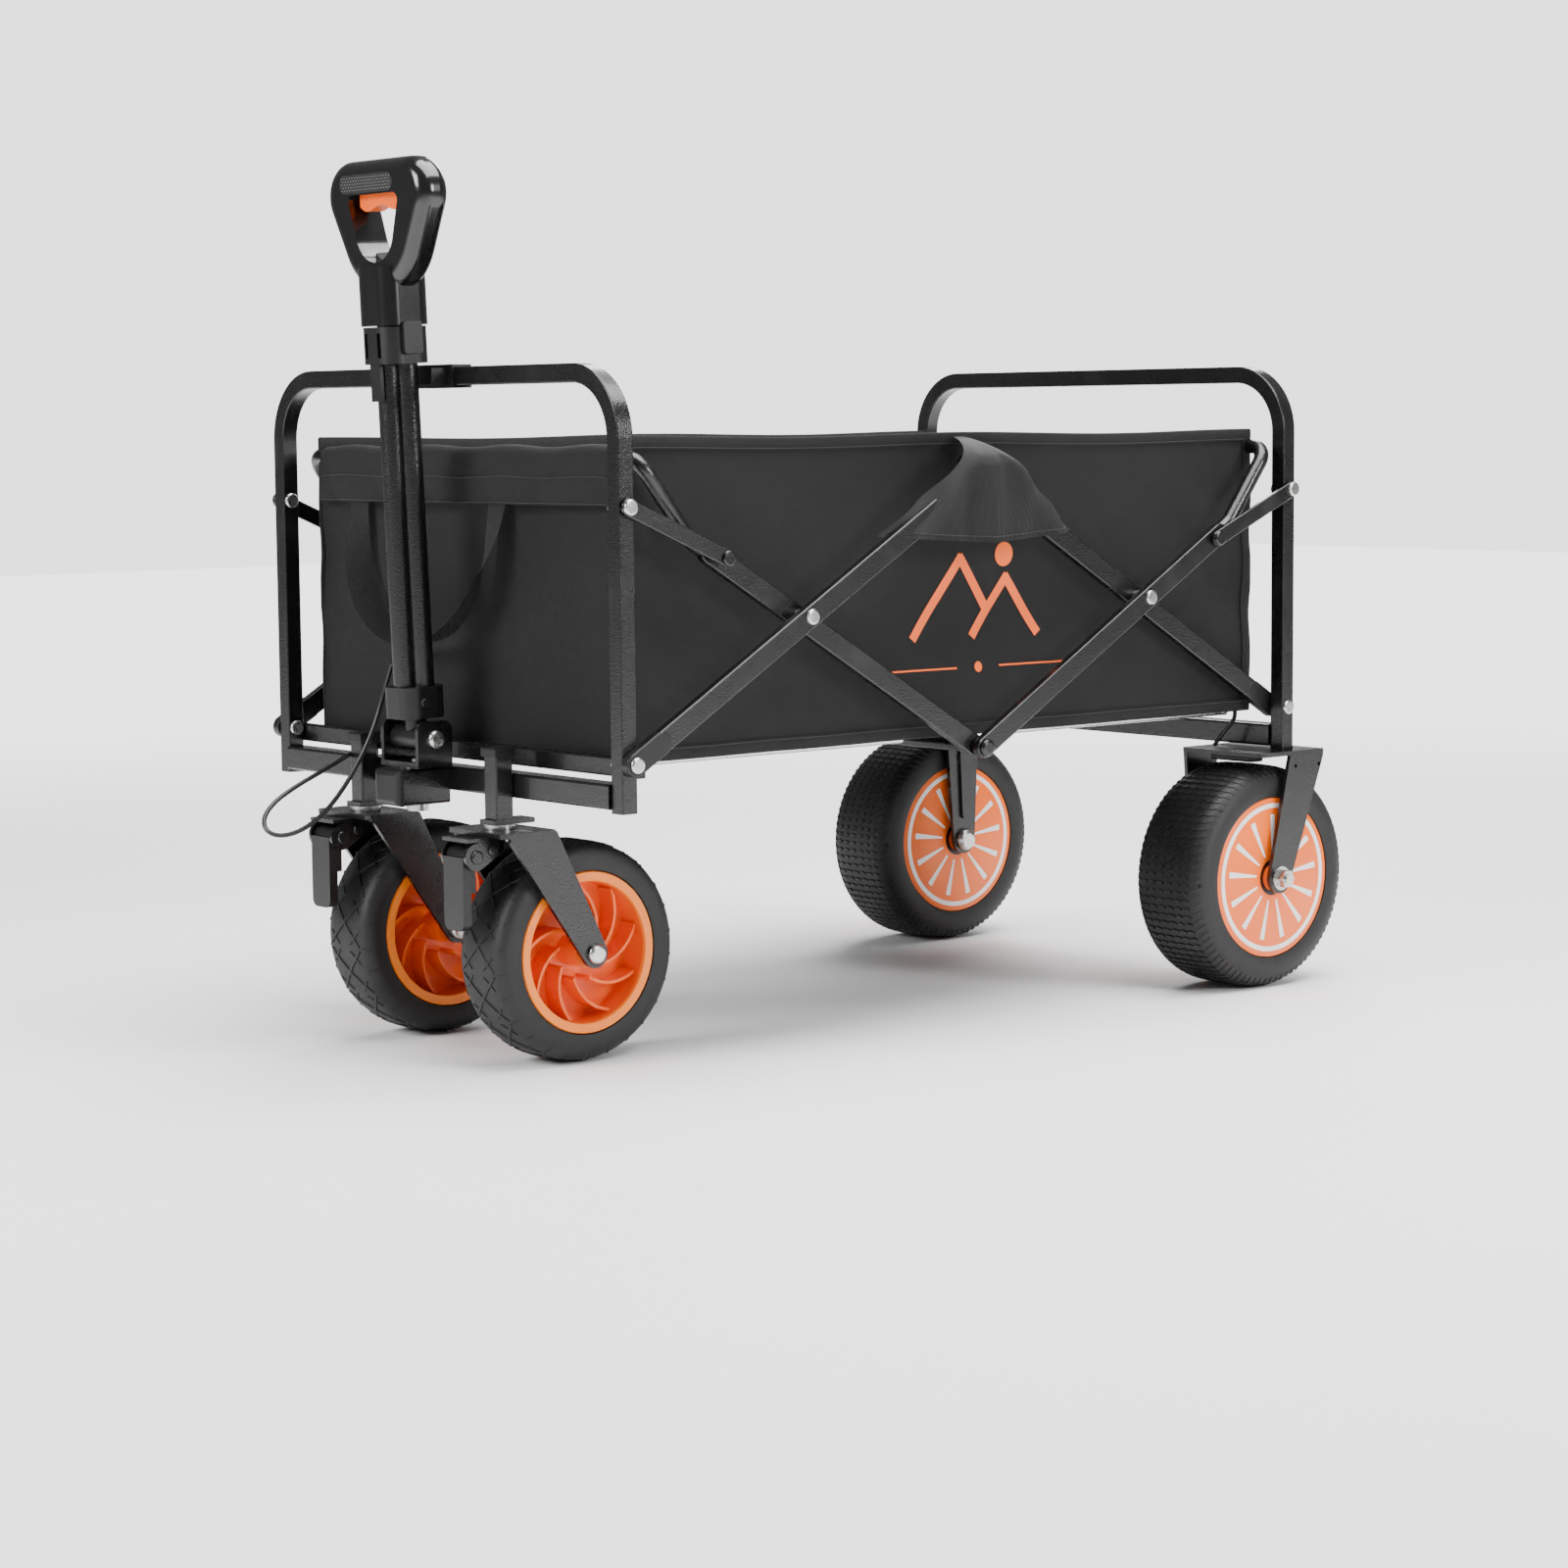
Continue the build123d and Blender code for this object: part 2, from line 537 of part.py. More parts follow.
def upright_piece(sketch, z0, z1):
    """A shaft section made solid between two heights."""
    return Pos(steer_x, 0, z0) * extrude(sketch, z1 - z0)


def steering_nodes():
    """Steering box, yoke, and the fixed lower half of the handle."""
    nodes = {}
    x, half = steer_x, box_width / 2
    face = -cross_depth / 2
    low = box_top - box_height
    box = block(box_front, face, -half, half, low, box_top)
    box = fillet(box.edges().filter_by(Axis.X), 2.5)
    box -= block(box_front, face - 4, -half + 2.5, half - 2.5, low + 2.5, box_top - 2.5)
    box -= rod_z(x, 0, low - 5, box_top + 5, 5.0)
    nodes["steering_box"] = box
    cap = block(box_front - 7, box_front, -half, half, low, box_top)
    cap = fillet(cap.edges().group_by(Axis.X)[0], 5.0)
    nodes["steering_box_cap"] = cap
    pin_z = rod_z(x, 0, low - 1, box_top + 7, 5.0) + rod_z(x, 0, low - 6, low, 9.0)
    washer = rod_z(x, 0, box_top, box_top + 1.4, 13.0)
    nodes["steering_pin"] = pin_z + washer
    base = box_top + 1.6
    ear_in, ear_out = yoke_inside / 2, yoke_inside / 2 + yoke_plate
    yoke = block(x - 17, x + 17, -ear_out, ear_out, base, base + yoke_plate)
    yoke -= rod_z(x, 0, base - 5, base + 20, 5.0 + pin_clearance)
    for side in (-1, 1):
        ear = block(x - 17, x + 17, side * ear_in, side * ear_out, base, barrel_z + 15)
        yoke += fillet(ear.edges().filter_by(Axis.Y).group_by(Axis.Z)[-1], 7.0)
    yoke -= rod_y(x, barrel_z, -60, 60, 4.0)
    nodes["steering_yoke"] = yoke
    bolt = rod_y(x, barrel_z, -ear_out - 1, ear_out + 1, 4.0)
    bolt += head_y(x, barrel_z, -ear_out, -1, 7.5, 4.5) + head_y(x, barrel_z, ear_out, 1, 7.5, 4.5)
    nodes["yoke_bolt"] = bolt
    barrel = rod_y(x, barrel_z, -ear_in + 0.5, ear_in - 0.5, 11.0) + rod_z(x, 0, barrel_z, shaft_bottom, 9.0)
    nodes["handle_barrel"] = leaned(barrel) - rod_y(x, barrel_z, -60, 60, 4.0 + pin_clearance)
    outer = trefoil(lobe_radius, lobe_offset)
    bore = trefoil(lobe_radius - tube_wall, lobe_offset)
    tube = upright_piece(outer - bore, shaft_bottom, collar_bottom + 20)
    nodes["handle_outer_tube"] = leaned(tube)
    clamp = upright_piece(RectangleRounded(42, 42, 14) - outer, shaft_bottom, shaft_bottom + 4)
    skirt = upright_piece(RectangleRounded(42, 42, 14), shaft_bottom - 22, shaft_bottom)
    clamp += skirt - upright_piece(Circle(9.0), shaft_bottom - 22, shaft_bottom)
    for side in (-1, 1):
        clamp += head_y(x - 4, shaft_bottom - 9, side * 21.0, side, 4.0, 2.0)
    nodes["handle_clamp"] = leaned(clamp)
    ring = upright_piece(RectangleRounded(45, 45, 15), collar_bottom, collar_top)
    slide_gap = trefoil(lobe_radius - tube_wall - 0.4, lobe_offset)
    ring -= upright_piece(outer, collar_bottom, collar_bottom + 20)
    ring -= upright_piece(slide_gap, collar_bottom + 20, collar_top)
    for side in (-1, 1):
        ring -= block(x - 30, x - 14, side * 7, side * 11, collar_bottom + 5, collar_top - 5)
    tongue = upright_piece(Pos(-lobe_offset - lobe_radius - 1.6, 0) * Rectangle(3.2, 14), collar_bottom - 30,
                           collar_bottom)
    nodes["handle_collar"] = leaned(ring + tongue - upright_piece(outer, collar_bottom - 31, collar_bottom))
    lever = block(x - 9, x + 9, -26.7, -23.2, collar_bottom + 8, collar_top + 4)
    nodes["collar_lever"] = leaned(fillet(lever.edges().filter_by(Axis.Y), 3.0))
    inner = trefoil(lobe_radius - tube_wall - 0.8, lobe_offset)
    inner_bore = trefoil(lobe_radius - 2 * tube_wall - 0.8, lobe_offset)
    inner_tube = upright_piece(inner - inner_bore, shaft_bottom + 8, neck_top - 10)
    nodes["handle_inner_tube"] = leaned(inner_tube)
    return nodes


def clip_node():
    """Plastic saddle on the front hoop's top bar that the parked handle rests in."""
    z1, z0 = hoop_top, hoop_top - hoop_tube
    out = hoop_tube / 2
    saddle = block(-out - 14.0, -out, -19, 19, z0 + 1, z1 - 1)
    band = block(-out - 2, out + 2, -30, 26, z0 - 2, z1 + 2) - block(-out, out, -40, 40, z0, z1)
    for side in (-1, 1):
        saddle += block(-out - 17.0, -out, side * 19, side * 22, z0 + 1, z1 - 1)
    return saddle + band - block(-out, out, -40, 40, z0, z1)


def grip_nodes():
    """The two-shell D grip, its textured pad, the brake trigger and the release button."""
    x = steer_x
    depth, low = 30.0, neck_top
    plane = Plane(origin=(x, 0, 0), x_dir=(0, 1, 0), z_dir=(1, 0, 0))
    circles = [(41, grip_top - 29, 29), (-41, grip_top - 29, 29), (0, grip_top - 54, 54)]
    outline = make_hull(ShapeList([e for y, z, r in circles for e in (Pos(y, z) * Circle(r)).edges()]))
    inner = [(29, grip_top - 34, 6), (-29, grip_top - 34, 6), (0, grip_top - 56, 27)]
    opening = make_hull(ShapeList([e for y, z, r in inner for e in (Pos(y, z) * Circle(r)).edges()]))
    body = extrude(plane * outline, depth / 2, both=True)
    body = fillet(body.edges().group_by(Axis.X)[0] + body.edges().group_by(Axis.X)[-1], 12.0)
    body -= extrude(plane * opening, depth, both=True)
    neck = upright_piece(RectangleRounded(46, 46, 13), collar_top + 1.0, low + 12)
    body += neck
    slot = block(x - 8, x + 8, -31.3, 31.3, grip_top - 34, grip_top - 15)
    well = block(x - 8.3, x + 8.3, -10.3, 10.3, low + 2, low + 24)
    bore = upright_piece(trefoil(lobe_radius - tube_wall - 0.8, lobe_offset), collar_top, low - 10)
    body -= slot + well + bore
    pad_shape = plane * (Pos(9, grip_top - 19) * SlotOverall(76, 15))
    pad_zone = Pos(-depth / 2 - 1, 0, 0) * extrude(pad_shape, 3.5)
    pad = body & pad_zone
    body -= pad_zone
    front_half = block(x - 40, x, -80, 80, collar_top, grip_top + 10)
    wave = [(-30, 0), (-16, -4), (0, 0.5), (16, -4), (30, 0)]
    base = grip_top - 37.0
    edge = Spline(*[(y, base + dz) for y, dz in wave])
    lines = Polyline((30, base), (30, base + 13), (-30, base + 13), (-30, base))
    trigger = extrude(plane * make_face(edge + lines), 7.0, both=True)
    button = block(x - 8, x + 8, -10, 10, low + 9, low + 23)
    button = fillet(button.edges().filter_by(Axis.X).group_by(Axis.Z)[-1], 3.0)
    return {
        "grip_front_shell": leaned(body & front_half),
        "grip_rear_shell": leaned(body - front_half),
        "grip_pad": leaned(pad),
        "brake_trigger": leaned(trigger),
        "release_button": leaned(button),
    }


cable_diameter = 4.0
front_cable_route = [
    (-35.0, 27.8, 326.0), (-36.5, 35.5, 309.0), (-41.0, 38.5, 288.0), (-49.0, 40.0, 267.0),
    (-60.0, 42.0, 245.5), (-73.5, 44.0, 225.0), (-89.0, 47.0, 206.5), (-105.0, 50.5, 194.0),
    (-120.0, 55.0, 187.5), (-131.5, 62.0, 187.0), (-136.0, 71.0, 193.0), (-130.5, 78.5, 203.0),
    (-117.0, 82.0, 213.5), (-98.0, 83.5, 223.0), (-75.0, 87.0, 231.5), (-50.0, 95.0, 238.5),
    (-28.0, 107.5, 244.5), (-6.0, 119.5, 247.5),
]
rear_cable_route = [
    (735.0, -184.0, 220.5), (738.5, -190.0, 231.0), (741.0, -199.0, 241.0), (739.5, -206.5, 249.5),
    (735.5, -208.5, 256.0),
]


def cable(route, name):
    """A round cable: straight runs joined by arcs as large as the runs allow."""
    points = [Vector(*p) for p in route]
    radii = []
    for before, here, after in zip(points, points[1:], points[2:]):
        one, two = here - before, after - here
        turn = math.radians(one.get_angle(two))
        radii.append(0.45 * min(one.length, two.length) / math.tan(turn / 2))
    path = FilletPolyline(*route, radius=radii)
    tube = sweep(Plane(origin=path @ 0, z_dir=path % 0) * Circle(cable_diameter / 2), path)
    ideal = math.pi * cable_diameter**2 / 4 * path.length
    print(name, "length", round(path.length, 1), "volume ratio", round(tube.volume / ideal, 4),
          "tightest radius", round(min(radii), 1))
    return tube


def cable_nodes():
    """The front and rear stretches of brake cable that show, with the boot and clip that hold them."""
    x, y, z = front_cable_route[0]
    ex, ey, ez = front_cable_route[-1]
    boot = rod_y(x, z, 10.0, y - 1.6, 4.0)
    tube_space = leaned(upright_piece(trefoil(lobe_radius, lobe_offset), shaft_bottom, collar_bottom))
    start = Vector(*front_cable_route[0])
    aim = Vector(*front_cable_route[1]) - start
    keep_clear = Plane(origin=start, z_dir=aim) * Pos(0, 0, 8.8) * Box(40, 40, 20)
    clip = block(ex + 0.8, hoop_tube / 2, ey - 6, ey + 6, cross_bottom + cross_height, ez + 4.5)
    return {
        "front_brake_cable": cable(front_cable_route, "front_brake_cable"),
        "rear_brake_cable": cable(rear_cable_route, "rear_brake_cable"),
        "cable_boot": boot - tube_space - keep_clear,
        "cable_clip": fillet(clip.edges().filter_by(Axis.Z), 1.5),
    }


# Pieces that are welded or bolted to the same moving body and share a node, as separate solids
both = ("near", "far")
shared_nodes = {
    "front_arms": [f"front_arm_{name}" for name in both],
    "front_arm_caps": [f"front_arm_cap_{name}" for name in both],
    "front_arm_rivets": [f"front_arm_rivets_{name}" for name in both],
    "rear_arms": [f"rear_arm_{name}" for name in both],
    "rear_arm_caps": [f"rear_arm_cap_{name}" for name in both],
    "rear_arm_rivets": [f"rear_arm_rivet_{name}" for name in both],
    "front_links": [f"front_link_{name}" for name in both],
    "rear_links": [f"rear_link_{name}" for name in both],
    "brake_shoes": [f"brake_shoe_{name}" for name in both],
    "rear_forks": [f"rear_fork_{name}" for name in both],
    "rear_fasteners": [f"rear_axle_{name}" for name in both] + ["rear_pivot_rivets"],
    "front_fasteners": ["front_pivot_bolts", "front_link_rivets", "caster_kingpins", "steering_pin"],
    "front_crossbars": ["front_cross_tube", "front_floor_bar", "caster_posts"],
    "front_end_caps": ["caster_post_caps", "steering_box_cap"],
    "rear_frame_tubes": ["rear_hoop", "rear_cross_tube"],
    "handle_foot": ["handle_barrel", "handle_clamp", "cable_boot"],
    "clips": ["handle_clip", "cable_clip"],
}


def all_nodes():
    """Every node, moved so that the origin lies on the ground under the middle of the wagon."""
    nodes = {}
    for group in (frame_nodes, scissor_nodes, basket_nodes, caster_nodes, rear_wheel_nodes, steering_nodes,
                  grip_nodes, cable_nodes):
        nodes.update(group())
    nodes["handle_clip"] = clip_node()
    for name, members in shared_nodes.items():
        solids = [solid for member in members for solid in nodes.pop(member).solids()]
        nodes[name] = Compound(children=solids)
    loose = ("front_brake_cable", "rear_brake_cable")
    boxes = [part.bounding_box() for name, part in nodes.items() if name not in loose]
    shift = -(min(b.min.X for b in boxes) + max(b.max.X for b in boxes)) / 2
    return {name: Pos(shift, 0, 0) * part for name, part in nodes.items()}, shift


def main():
    os.makedirs("parts", exist_ok=True)
    nodes, shift = all_nodes()
    for name, part in nodes.items():
        export_step(part, f"parts/{name}.step")
    print(len(nodes), "nodes, moved", round(shift, 3), "mm along X")


if __name__ == "__main__":
    main()
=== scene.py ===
"""Looks of the folding camp wagon: hammer-finished steel frame, sewn polyester basket, moulded plastic
wheels and grip, and the brake cables. Metres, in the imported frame; X runs from front to rear."""

import math

import bmesh
import bpy
from mathutils import Matrix, Vector, noise


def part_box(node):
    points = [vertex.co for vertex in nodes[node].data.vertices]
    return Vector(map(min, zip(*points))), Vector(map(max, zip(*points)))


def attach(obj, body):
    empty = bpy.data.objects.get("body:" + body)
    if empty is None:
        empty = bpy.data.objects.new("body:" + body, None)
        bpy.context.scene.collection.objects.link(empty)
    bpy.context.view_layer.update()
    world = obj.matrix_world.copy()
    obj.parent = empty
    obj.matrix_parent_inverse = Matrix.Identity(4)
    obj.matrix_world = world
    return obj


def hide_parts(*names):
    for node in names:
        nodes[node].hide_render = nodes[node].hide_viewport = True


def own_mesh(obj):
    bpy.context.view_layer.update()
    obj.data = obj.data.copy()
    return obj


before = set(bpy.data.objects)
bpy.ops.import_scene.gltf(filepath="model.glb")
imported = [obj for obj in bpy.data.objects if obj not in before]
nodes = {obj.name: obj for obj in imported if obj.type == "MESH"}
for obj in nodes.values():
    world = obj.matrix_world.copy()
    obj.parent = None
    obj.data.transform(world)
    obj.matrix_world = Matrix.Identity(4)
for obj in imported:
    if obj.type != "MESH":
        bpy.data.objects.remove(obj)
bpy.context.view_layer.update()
pi = math.pi

# Studio: a pale paper sweep that fades into the backdrop, a large soft light above, and three weaker ones
# to the left, in front and behind. The eye stands off the near front corner, a little above the basket.
def add_node(tree, kind, links=(), **settings):
    """A node with its settings and links; a link is (from socket, this node's input)."""
    node = tree.nodes.new(kind)
    for key, value in settings.items():
        setattr(node, key, value)
    for source, socket in links:
        tree.links.new(source, node.inputs[socket])
    return node


paper_reach, fade_from, fade_to = 9.0, 0.9, 3.2
backdrop_strength, room_strength = 3.0, 0.22
paper_mesh = bpy.data.meshes.new("paper")
paper_mesh.from_pydata([(x * paper_reach, y * paper_reach, 0) for x, y in ((-1, -1), (1, -1), (1, 1), (-1, 1))],
                       [], [(0, 1, 2, 3)])
paper = bpy.data.materials.new("paper")
paper.use_nodes = True
sweep = paper.node_tree
paper_white = sweep.nodes["Principled BSDF"]
paper_white.inputs["Base Color"].default_value = (0.97, 0.97, 0.97, 1)
paper_white.inputs["Roughness"].default_value = 0.9
sweep_place = add_node(sweep, "ShaderNodeTexCoord").outputs["Object"]
distance = add_node(sweep, "ShaderNodeVectorMath", [(sweep_place, 0)], operation="LENGTH")
fade = add_node(sweep, "ShaderNodeMapRange", [(distance.outputs["Value"], "Value")],
                interpolation_type="SMOOTHSTEP")
fade.inputs["From Min"].default_value = fade_from
fade.inputs["From Max"].default_value = fade_to
sweep_seen = add_node(sweep, "ShaderNodeLightPath").outputs["Is Camera Ray"]
faded = add_node(sweep, "ShaderNodeMath", [(fade.outputs[0], 0), (sweep_seen, 1)], operation="MULTIPLY")
glow = add_node(sweep, "ShaderNodeEmission")
glow.inputs["Strength"].default_value = backdrop_strength
paper_mix = add_node(sweep, "ShaderNodeMixShader", [(faded.outputs[0], 0), (paper_white.outputs[0], 1),
                                                    (glow.outputs[0], 2)])
sweep.links.new(paper_mix.outputs[0], sweep.nodes["Material Output"].inputs["Surface"])
paper_mesh.materials.append(paper)
paper_floor = bpy.data.objects.new("paper_floor", paper_mesh)
bpy.context.collection.objects.link(paper_floor)

world = bpy.data.worlds.new("studio")
world.use_nodes = True
room = world.node_tree
room.nodes["Background"].inputs["Color"].default_value = (1, 1, 1, 1)
room.nodes["Background"].inputs["Strength"].default_value = room_strength
backdrop = add_node(room, "ShaderNodeBackground")
backdrop.inputs["Strength"].default_value = backdrop_strength
room_seen = add_node(room, "ShaderNodeLightPath").outputs["Is Camera Ray"]
room_mix = add_node(room, "ShaderNodeMixShader", [(room_seen, 0), (room.nodes["Background"].outputs[0], 1),
                                                  (backdrop.outputs[0], 2)])
room.links.new(room_mix.outputs[0], room.nodes["World Output"].inputs["Surface"])
bpy.context.scene.world = world

lit_point = Vector((0, 0, 0.35))
for lamp_name, place, size, power in (
    ("top_light", (0.2, -0.6, 2.8), 2.4, 210),
    ("left_light", (-2.6, 0.3, 1.5), 1.0, 70),
    ("front_light", (0.9, -3.0, 1.3), 0.9, 60),
    ("rear_light", (1.9, 1.6, 1.9), 1.2, 50),
):
    lamp = bpy.data.lights.new(lamp_name, "AREA")
    lamp.size = size
    lamp.energy = power
    lamp_object = bpy.data.objects.new(lamp_name, lamp)
    lamp_object.location = place
    lamp_object.rotation_euler = (lit_point - Vector(place)).to_track_quat("-Z", "Y").to_euler()
    bpy.context.collection.objects.link(lamp_object)

eye_turn, eye_pitch, eye_roll = math.radians(-40.2), math.radians(5.8), math.radians(-0.5)
eye = bpy.data.cameras.new("front_quarter_view")
eye.sensor_width = 36
eye.lens = 80.4
eye.shift_x, eye.shift_y = 0.0025, -0.003
eye_object = bpy.data.objects.new("front_quarter_view", eye)
eye_object.matrix_world = (
    Matrix.Translation((-2.0507, -2.3972, 0.5215))
    @ Matrix.Rotation(eye_turn, 4, "Z")
    @ Matrix.Rotation(pi / 2 - eye_pitch, 4, "X")
    @ Matrix.Rotation(eye_roll, 4, "Z")
)
bpy.context.collection.objects.link(eye_object)
bpy.context.scene.camera = eye_object


# Hoops, cross tubes, scissor arms, forks and yoke: welded steel with a black hammer-finish powder coat,
# whose small shining cells catch the light, worn a little thinner where hands and straps rub.
def finish(name, colour, roughness, metallic=0.0, **settings):
    """A node material with plain values on its shader; returns the material and the shader."""
    material = bpy.data.materials.new(name)
    material.use_nodes = True
    shader = material.node_tree.nodes["Principled BSDF"]
    shader.inputs["Base Color"].default_value = (*colour, 1)
    shader.inputs["Roughness"].default_value = roughness
    shader.inputs["Metallic"].default_value = metallic
    for socket, value in settings.items():
        shader.inputs[socket.replace("_", " ")].default_value = value
    return material, shader


def effect_group(name, inputs, outputs):
    """An empty shader group with float inputs and outputs; returns it with its two end nodes."""
    group = bpy.data.node_groups.new(name, "ShaderNodeTree")
    for label, value in inputs.items():
        group.interface.new_socket(label, in_out="INPUT", socket_type="NodeSocketFloat").default_value = value
    for label in outputs:
        group.interface.new_socket(label, in_out="OUTPUT", socket_type="NodeSocketFloat")
    return group, group.nodes.new("NodeGroupInput"), group.nodes.new("NodeGroupOutput")


def place_group(material, group, **values):
    """The shared effect in one material, with that material's values."""
    node = material.node_tree.nodes.new("ShaderNodeGroup")
    node.node_tree = group
    for socket, value in values.items():
        node.inputs[socket.replace("_", " ")].default_value = value
    return node


def shade_between(material, shader, mask, dark, light):
    """Colours the shader between two tones, as the mask goes from 0 to 1."""
    mix = add_node(material.node_tree, "ShaderNodeMix", data_type="RGBA")
    material.node_tree.links.new(mask, mix.inputs[0])
    mix.inputs[6].default_value = (*dark, 1)
    mix.inputs[7].default_value = (*light, 1)
    material.node_tree.links.new(mix.outputs[2], shader.inputs["Base Color"])
    return mix


def roughen_between(material, shader, mask, low, high):
    """Runs the shader's roughness between two values, as the mask goes from 0 to 1."""
    spread = add_node(material.node_tree, "ShaderNodeMapRange", [(mask, "Value")])
    spread.inputs["To Min"].default_value = low
    spread.inputs["To Max"].default_value = high
    material.node_tree.links.new(spread.outputs[0], shader.inputs["Roughness"])


def raise_by(material, shader, height, distance, strength=1.0):
    """Bumps the shader's normal by a height, in metres of relief."""
    bump = add_node(material.node_tree, "ShaderNodeBump", [(height, "Height")])
    bump.inputs["Distance"].default_value = distance
    bump.inputs["Strength"].default_value = strength
    material.node_tree.links.new(bump.outputs[0], shader.inputs["Normal"])


# Cells is the hammer finish, Patches a slow unevenness, and Scuffs a sparse mask of rubbed spots
coat_group, coat_in, coat_out = effect_group(
    "hammer_coat", {"Cell Scale": 700, "Patch Scale": 22, "Scuff Level": 0.62}, ("Cells", "Patches", "Scuffs")
)
coat_place = add_node(coat_group, "ShaderNodeTexCoord").outputs["Object"]
cells = add_node(coat_group, "ShaderNodeTexVoronoi", [(coat_place, "Vector"), (coat_in.outputs[0], "Scale")])
patches = add_node(coat_group, "ShaderNodeTexNoise", [(coat_place, "Vector"), (coat_in.outputs[1], "Scale")])
fine = add_node(coat_group, "ShaderNodeTexNoise", [(coat_place, "Vector"), (coat_in.outputs[0], "Scale")])
soften = add_node(coat_group, "ShaderNodeMath", [(cells.outputs["Distance"], 0), (fine.outputs[0], 1)])
scuffs = add_node(coat_group, "ShaderNodeMapRange", [(patches.outputs[0], "Value"),
                                                     (coat_in.outputs[2], "From Min")])
scuffs.inputs["From Max"].default_value = 0.8
coat_group.links.new(soften.outputs[0], coat_out.inputs["Cells"])
coat_group.links.new(patches.outputs[0], coat_out.inputs["Patches"])
coat_group.links.new(scuffs.outputs[0], coat_out.inputs["Scuffs"])

hammered, hammered_shader = finish("hammered_black", (0.004, 0.004, 0.0045), 0.3, 0.1, Coat_Weight=0.3,
                                   Coat_Roughness=0.12, Specular_IOR_Level=0.5)
hammered_coat = place_group(hammered, coat_group)
shade_between(hammered, hammered_shader, hammered_coat.outputs["Scuffs"], (0.0035, 0.0035, 0.004),
              (0.014, 0.014, 0.015))
roughen_between(hammered, hammered_shader, hammered_coat.outputs["Patches"], 0.18, 0.36)
raise_by(hammered, hammered_shader, hammered_coat.outputs["Cells"], 0.0002, 0.7)


def paint(material, *names):
    """Gives CAD pieces one material over their whole surface."""
    for name in names:
        mesh = nodes[name].data
        mesh.materials.clear()
        mesh.materials.append(material)


paint(hammered, "front_hoop", "front_crossbars", "steering_box", "front_arms", "rear_arms",
      "front_bent_frame", "rear_bent_frame", "front_links", "rear_links", "rear_frame_tubes", "rear_forks",
      "caster_fork_near", "caster_fork_far", "steering_yoke", "handle_outer_tube", "centre_tube",
      "brake_bracket_near", "brake_bracket_far")

# Arm caps, post caps, box cap, collar, clips, grip shells and pedals: injection-moulded black plastic
# with a fine spark-eroded texture; the two grip shells are polished smooth where the hand closes.
grain_group, grain_in, grain_out = effect_group(
    "moulded_grain", {"Grain Scale": 900, "Patch Scale": 30}, ("Grain", "Patches")
)
grain_place = add_node(grain_group, "ShaderNodeTexCoord").outputs["Object"]
grains = add_node(grain_group, "ShaderNodeTexNoise", [(grain_place, "Vector"),
                                                      (grain_in.outputs[0], "Scale")])
grains.inputs["Detail"].default_value = 4
clouds = add_node(grain_group, "ShaderNodeTexNoise", [(grain_place, "Vector"),
                                                      (grain_in.outputs[1], "Scale")])
clouds.inputs["Detail"].default_value = 3
grain_group.links.new(grains.outputs[0], grain_out.inputs["Grain"])
grain_group.links.new(clouds.outputs[0], grain_out.inputs["Patches"])


def moulded(name, dark, light, rough_low, rough_high, relief, scale=900.0, **settings):
    """A moulded plastic or rubber: two close tones, uneven gloss and a fine grain."""
    material, shader = finish(name, dark, rough_low, **settings)
    grain = place_group(material, grain_group, Grain_Scale=scale)
    shade_between(material, shader, grain.outputs["Patches"], dark, light)
    roughen_between(material, shader, grain.outputs["Patches"], rough_low, rough_high)
    raise_by(material, shader, grain.outputs["Grain"], relief)
    return material


black_plastic = moulded("moulded_black", (0.004, 0.004, 0.0045), (0.008, 0.008, 0.0085), 0.3, 0.46, 0.00008,
                        Specular_IOR_Level=0.4)
paint(black_plastic, "front_arm_caps", "rear_arm_caps", "front_end_caps", "handle_collar", "collar_lever",
      "clips", "brake_pedal_near", "brake_pedal_far", "handle_foot")
gloss_plastic = moulded("polished_black", (0.003, 0.003, 0.0035), (0.006, 0.006, 0.0065), 0.14, 0.24, 0.00002,
                        Coat_Weight=0.4, Coat_Roughness=0.08)
paint(gloss_plastic, "grip_front_shell", "grip_rear_shell")
orange_plastic = moulded("moulded_orange", (0.86, 0.1, 0.001), (0.94, 0.13, 0.002), 0.34, 0.48, 0.00005,
                         Subsurface_Weight=0.04, Subsurface_Scale=0.002)
paint(orange_plastic, "brake_trigger")

# Bolts, rivets, axles and washers: zinc-plated steel, drawn and tumbled, with faint scratches.
# The release button on the grip is chromed, and the telescoping inner tube is drawn bright under its coat.
scratch_group, scratch_in, scratch_out = effect_group(
    "turned_steel", {"Scratch Scale": 60}, ("Scratches", "Dull")
)
scratch_place = add_node(scratch_group, "ShaderNodeTexCoord").outputs["Object"]
stretched = add_node(scratch_group, "ShaderNodeMapping", [(scratch_place, "Vector")])
stretched.inputs["Scale"].default_value = (4, 60, 4)
scratches = add_node(scratch_group, "ShaderNodeTexNoise", [(stretched.outputs[0], "Vector"),
                                                         (scratch_in.outputs[0], "Scale")])
scratches.inputs["Detail"].default_value = 6
dull = add_node(scratch_group, "ShaderNodeTexNoise", [(scratch_place, "Vector")])
dull.inputs["Scale"].default_value = 140
scratch_group.links.new(scratches.outputs[0], scratch_out.inputs["Scratches"])
scratch_group.links.new(dull.outputs[0], scratch_out.inputs["Dull"])


def plated(name, dark, light, rough_low, rough_high):
    """Plated steel with scratches and dull patches."""
    material, shader = finish(name, light, rough_low, 1.0)
    marks = place_group(material, scratch_group)
    shade_between(material, shader, marks.outputs["Dull"], dark, light)
    roughen_between(material, shader, marks.outputs["Dull"], rough_low, rough_high)
    raise_by(material, shader, marks.outputs["Scratches"], 0.00002)
    return material


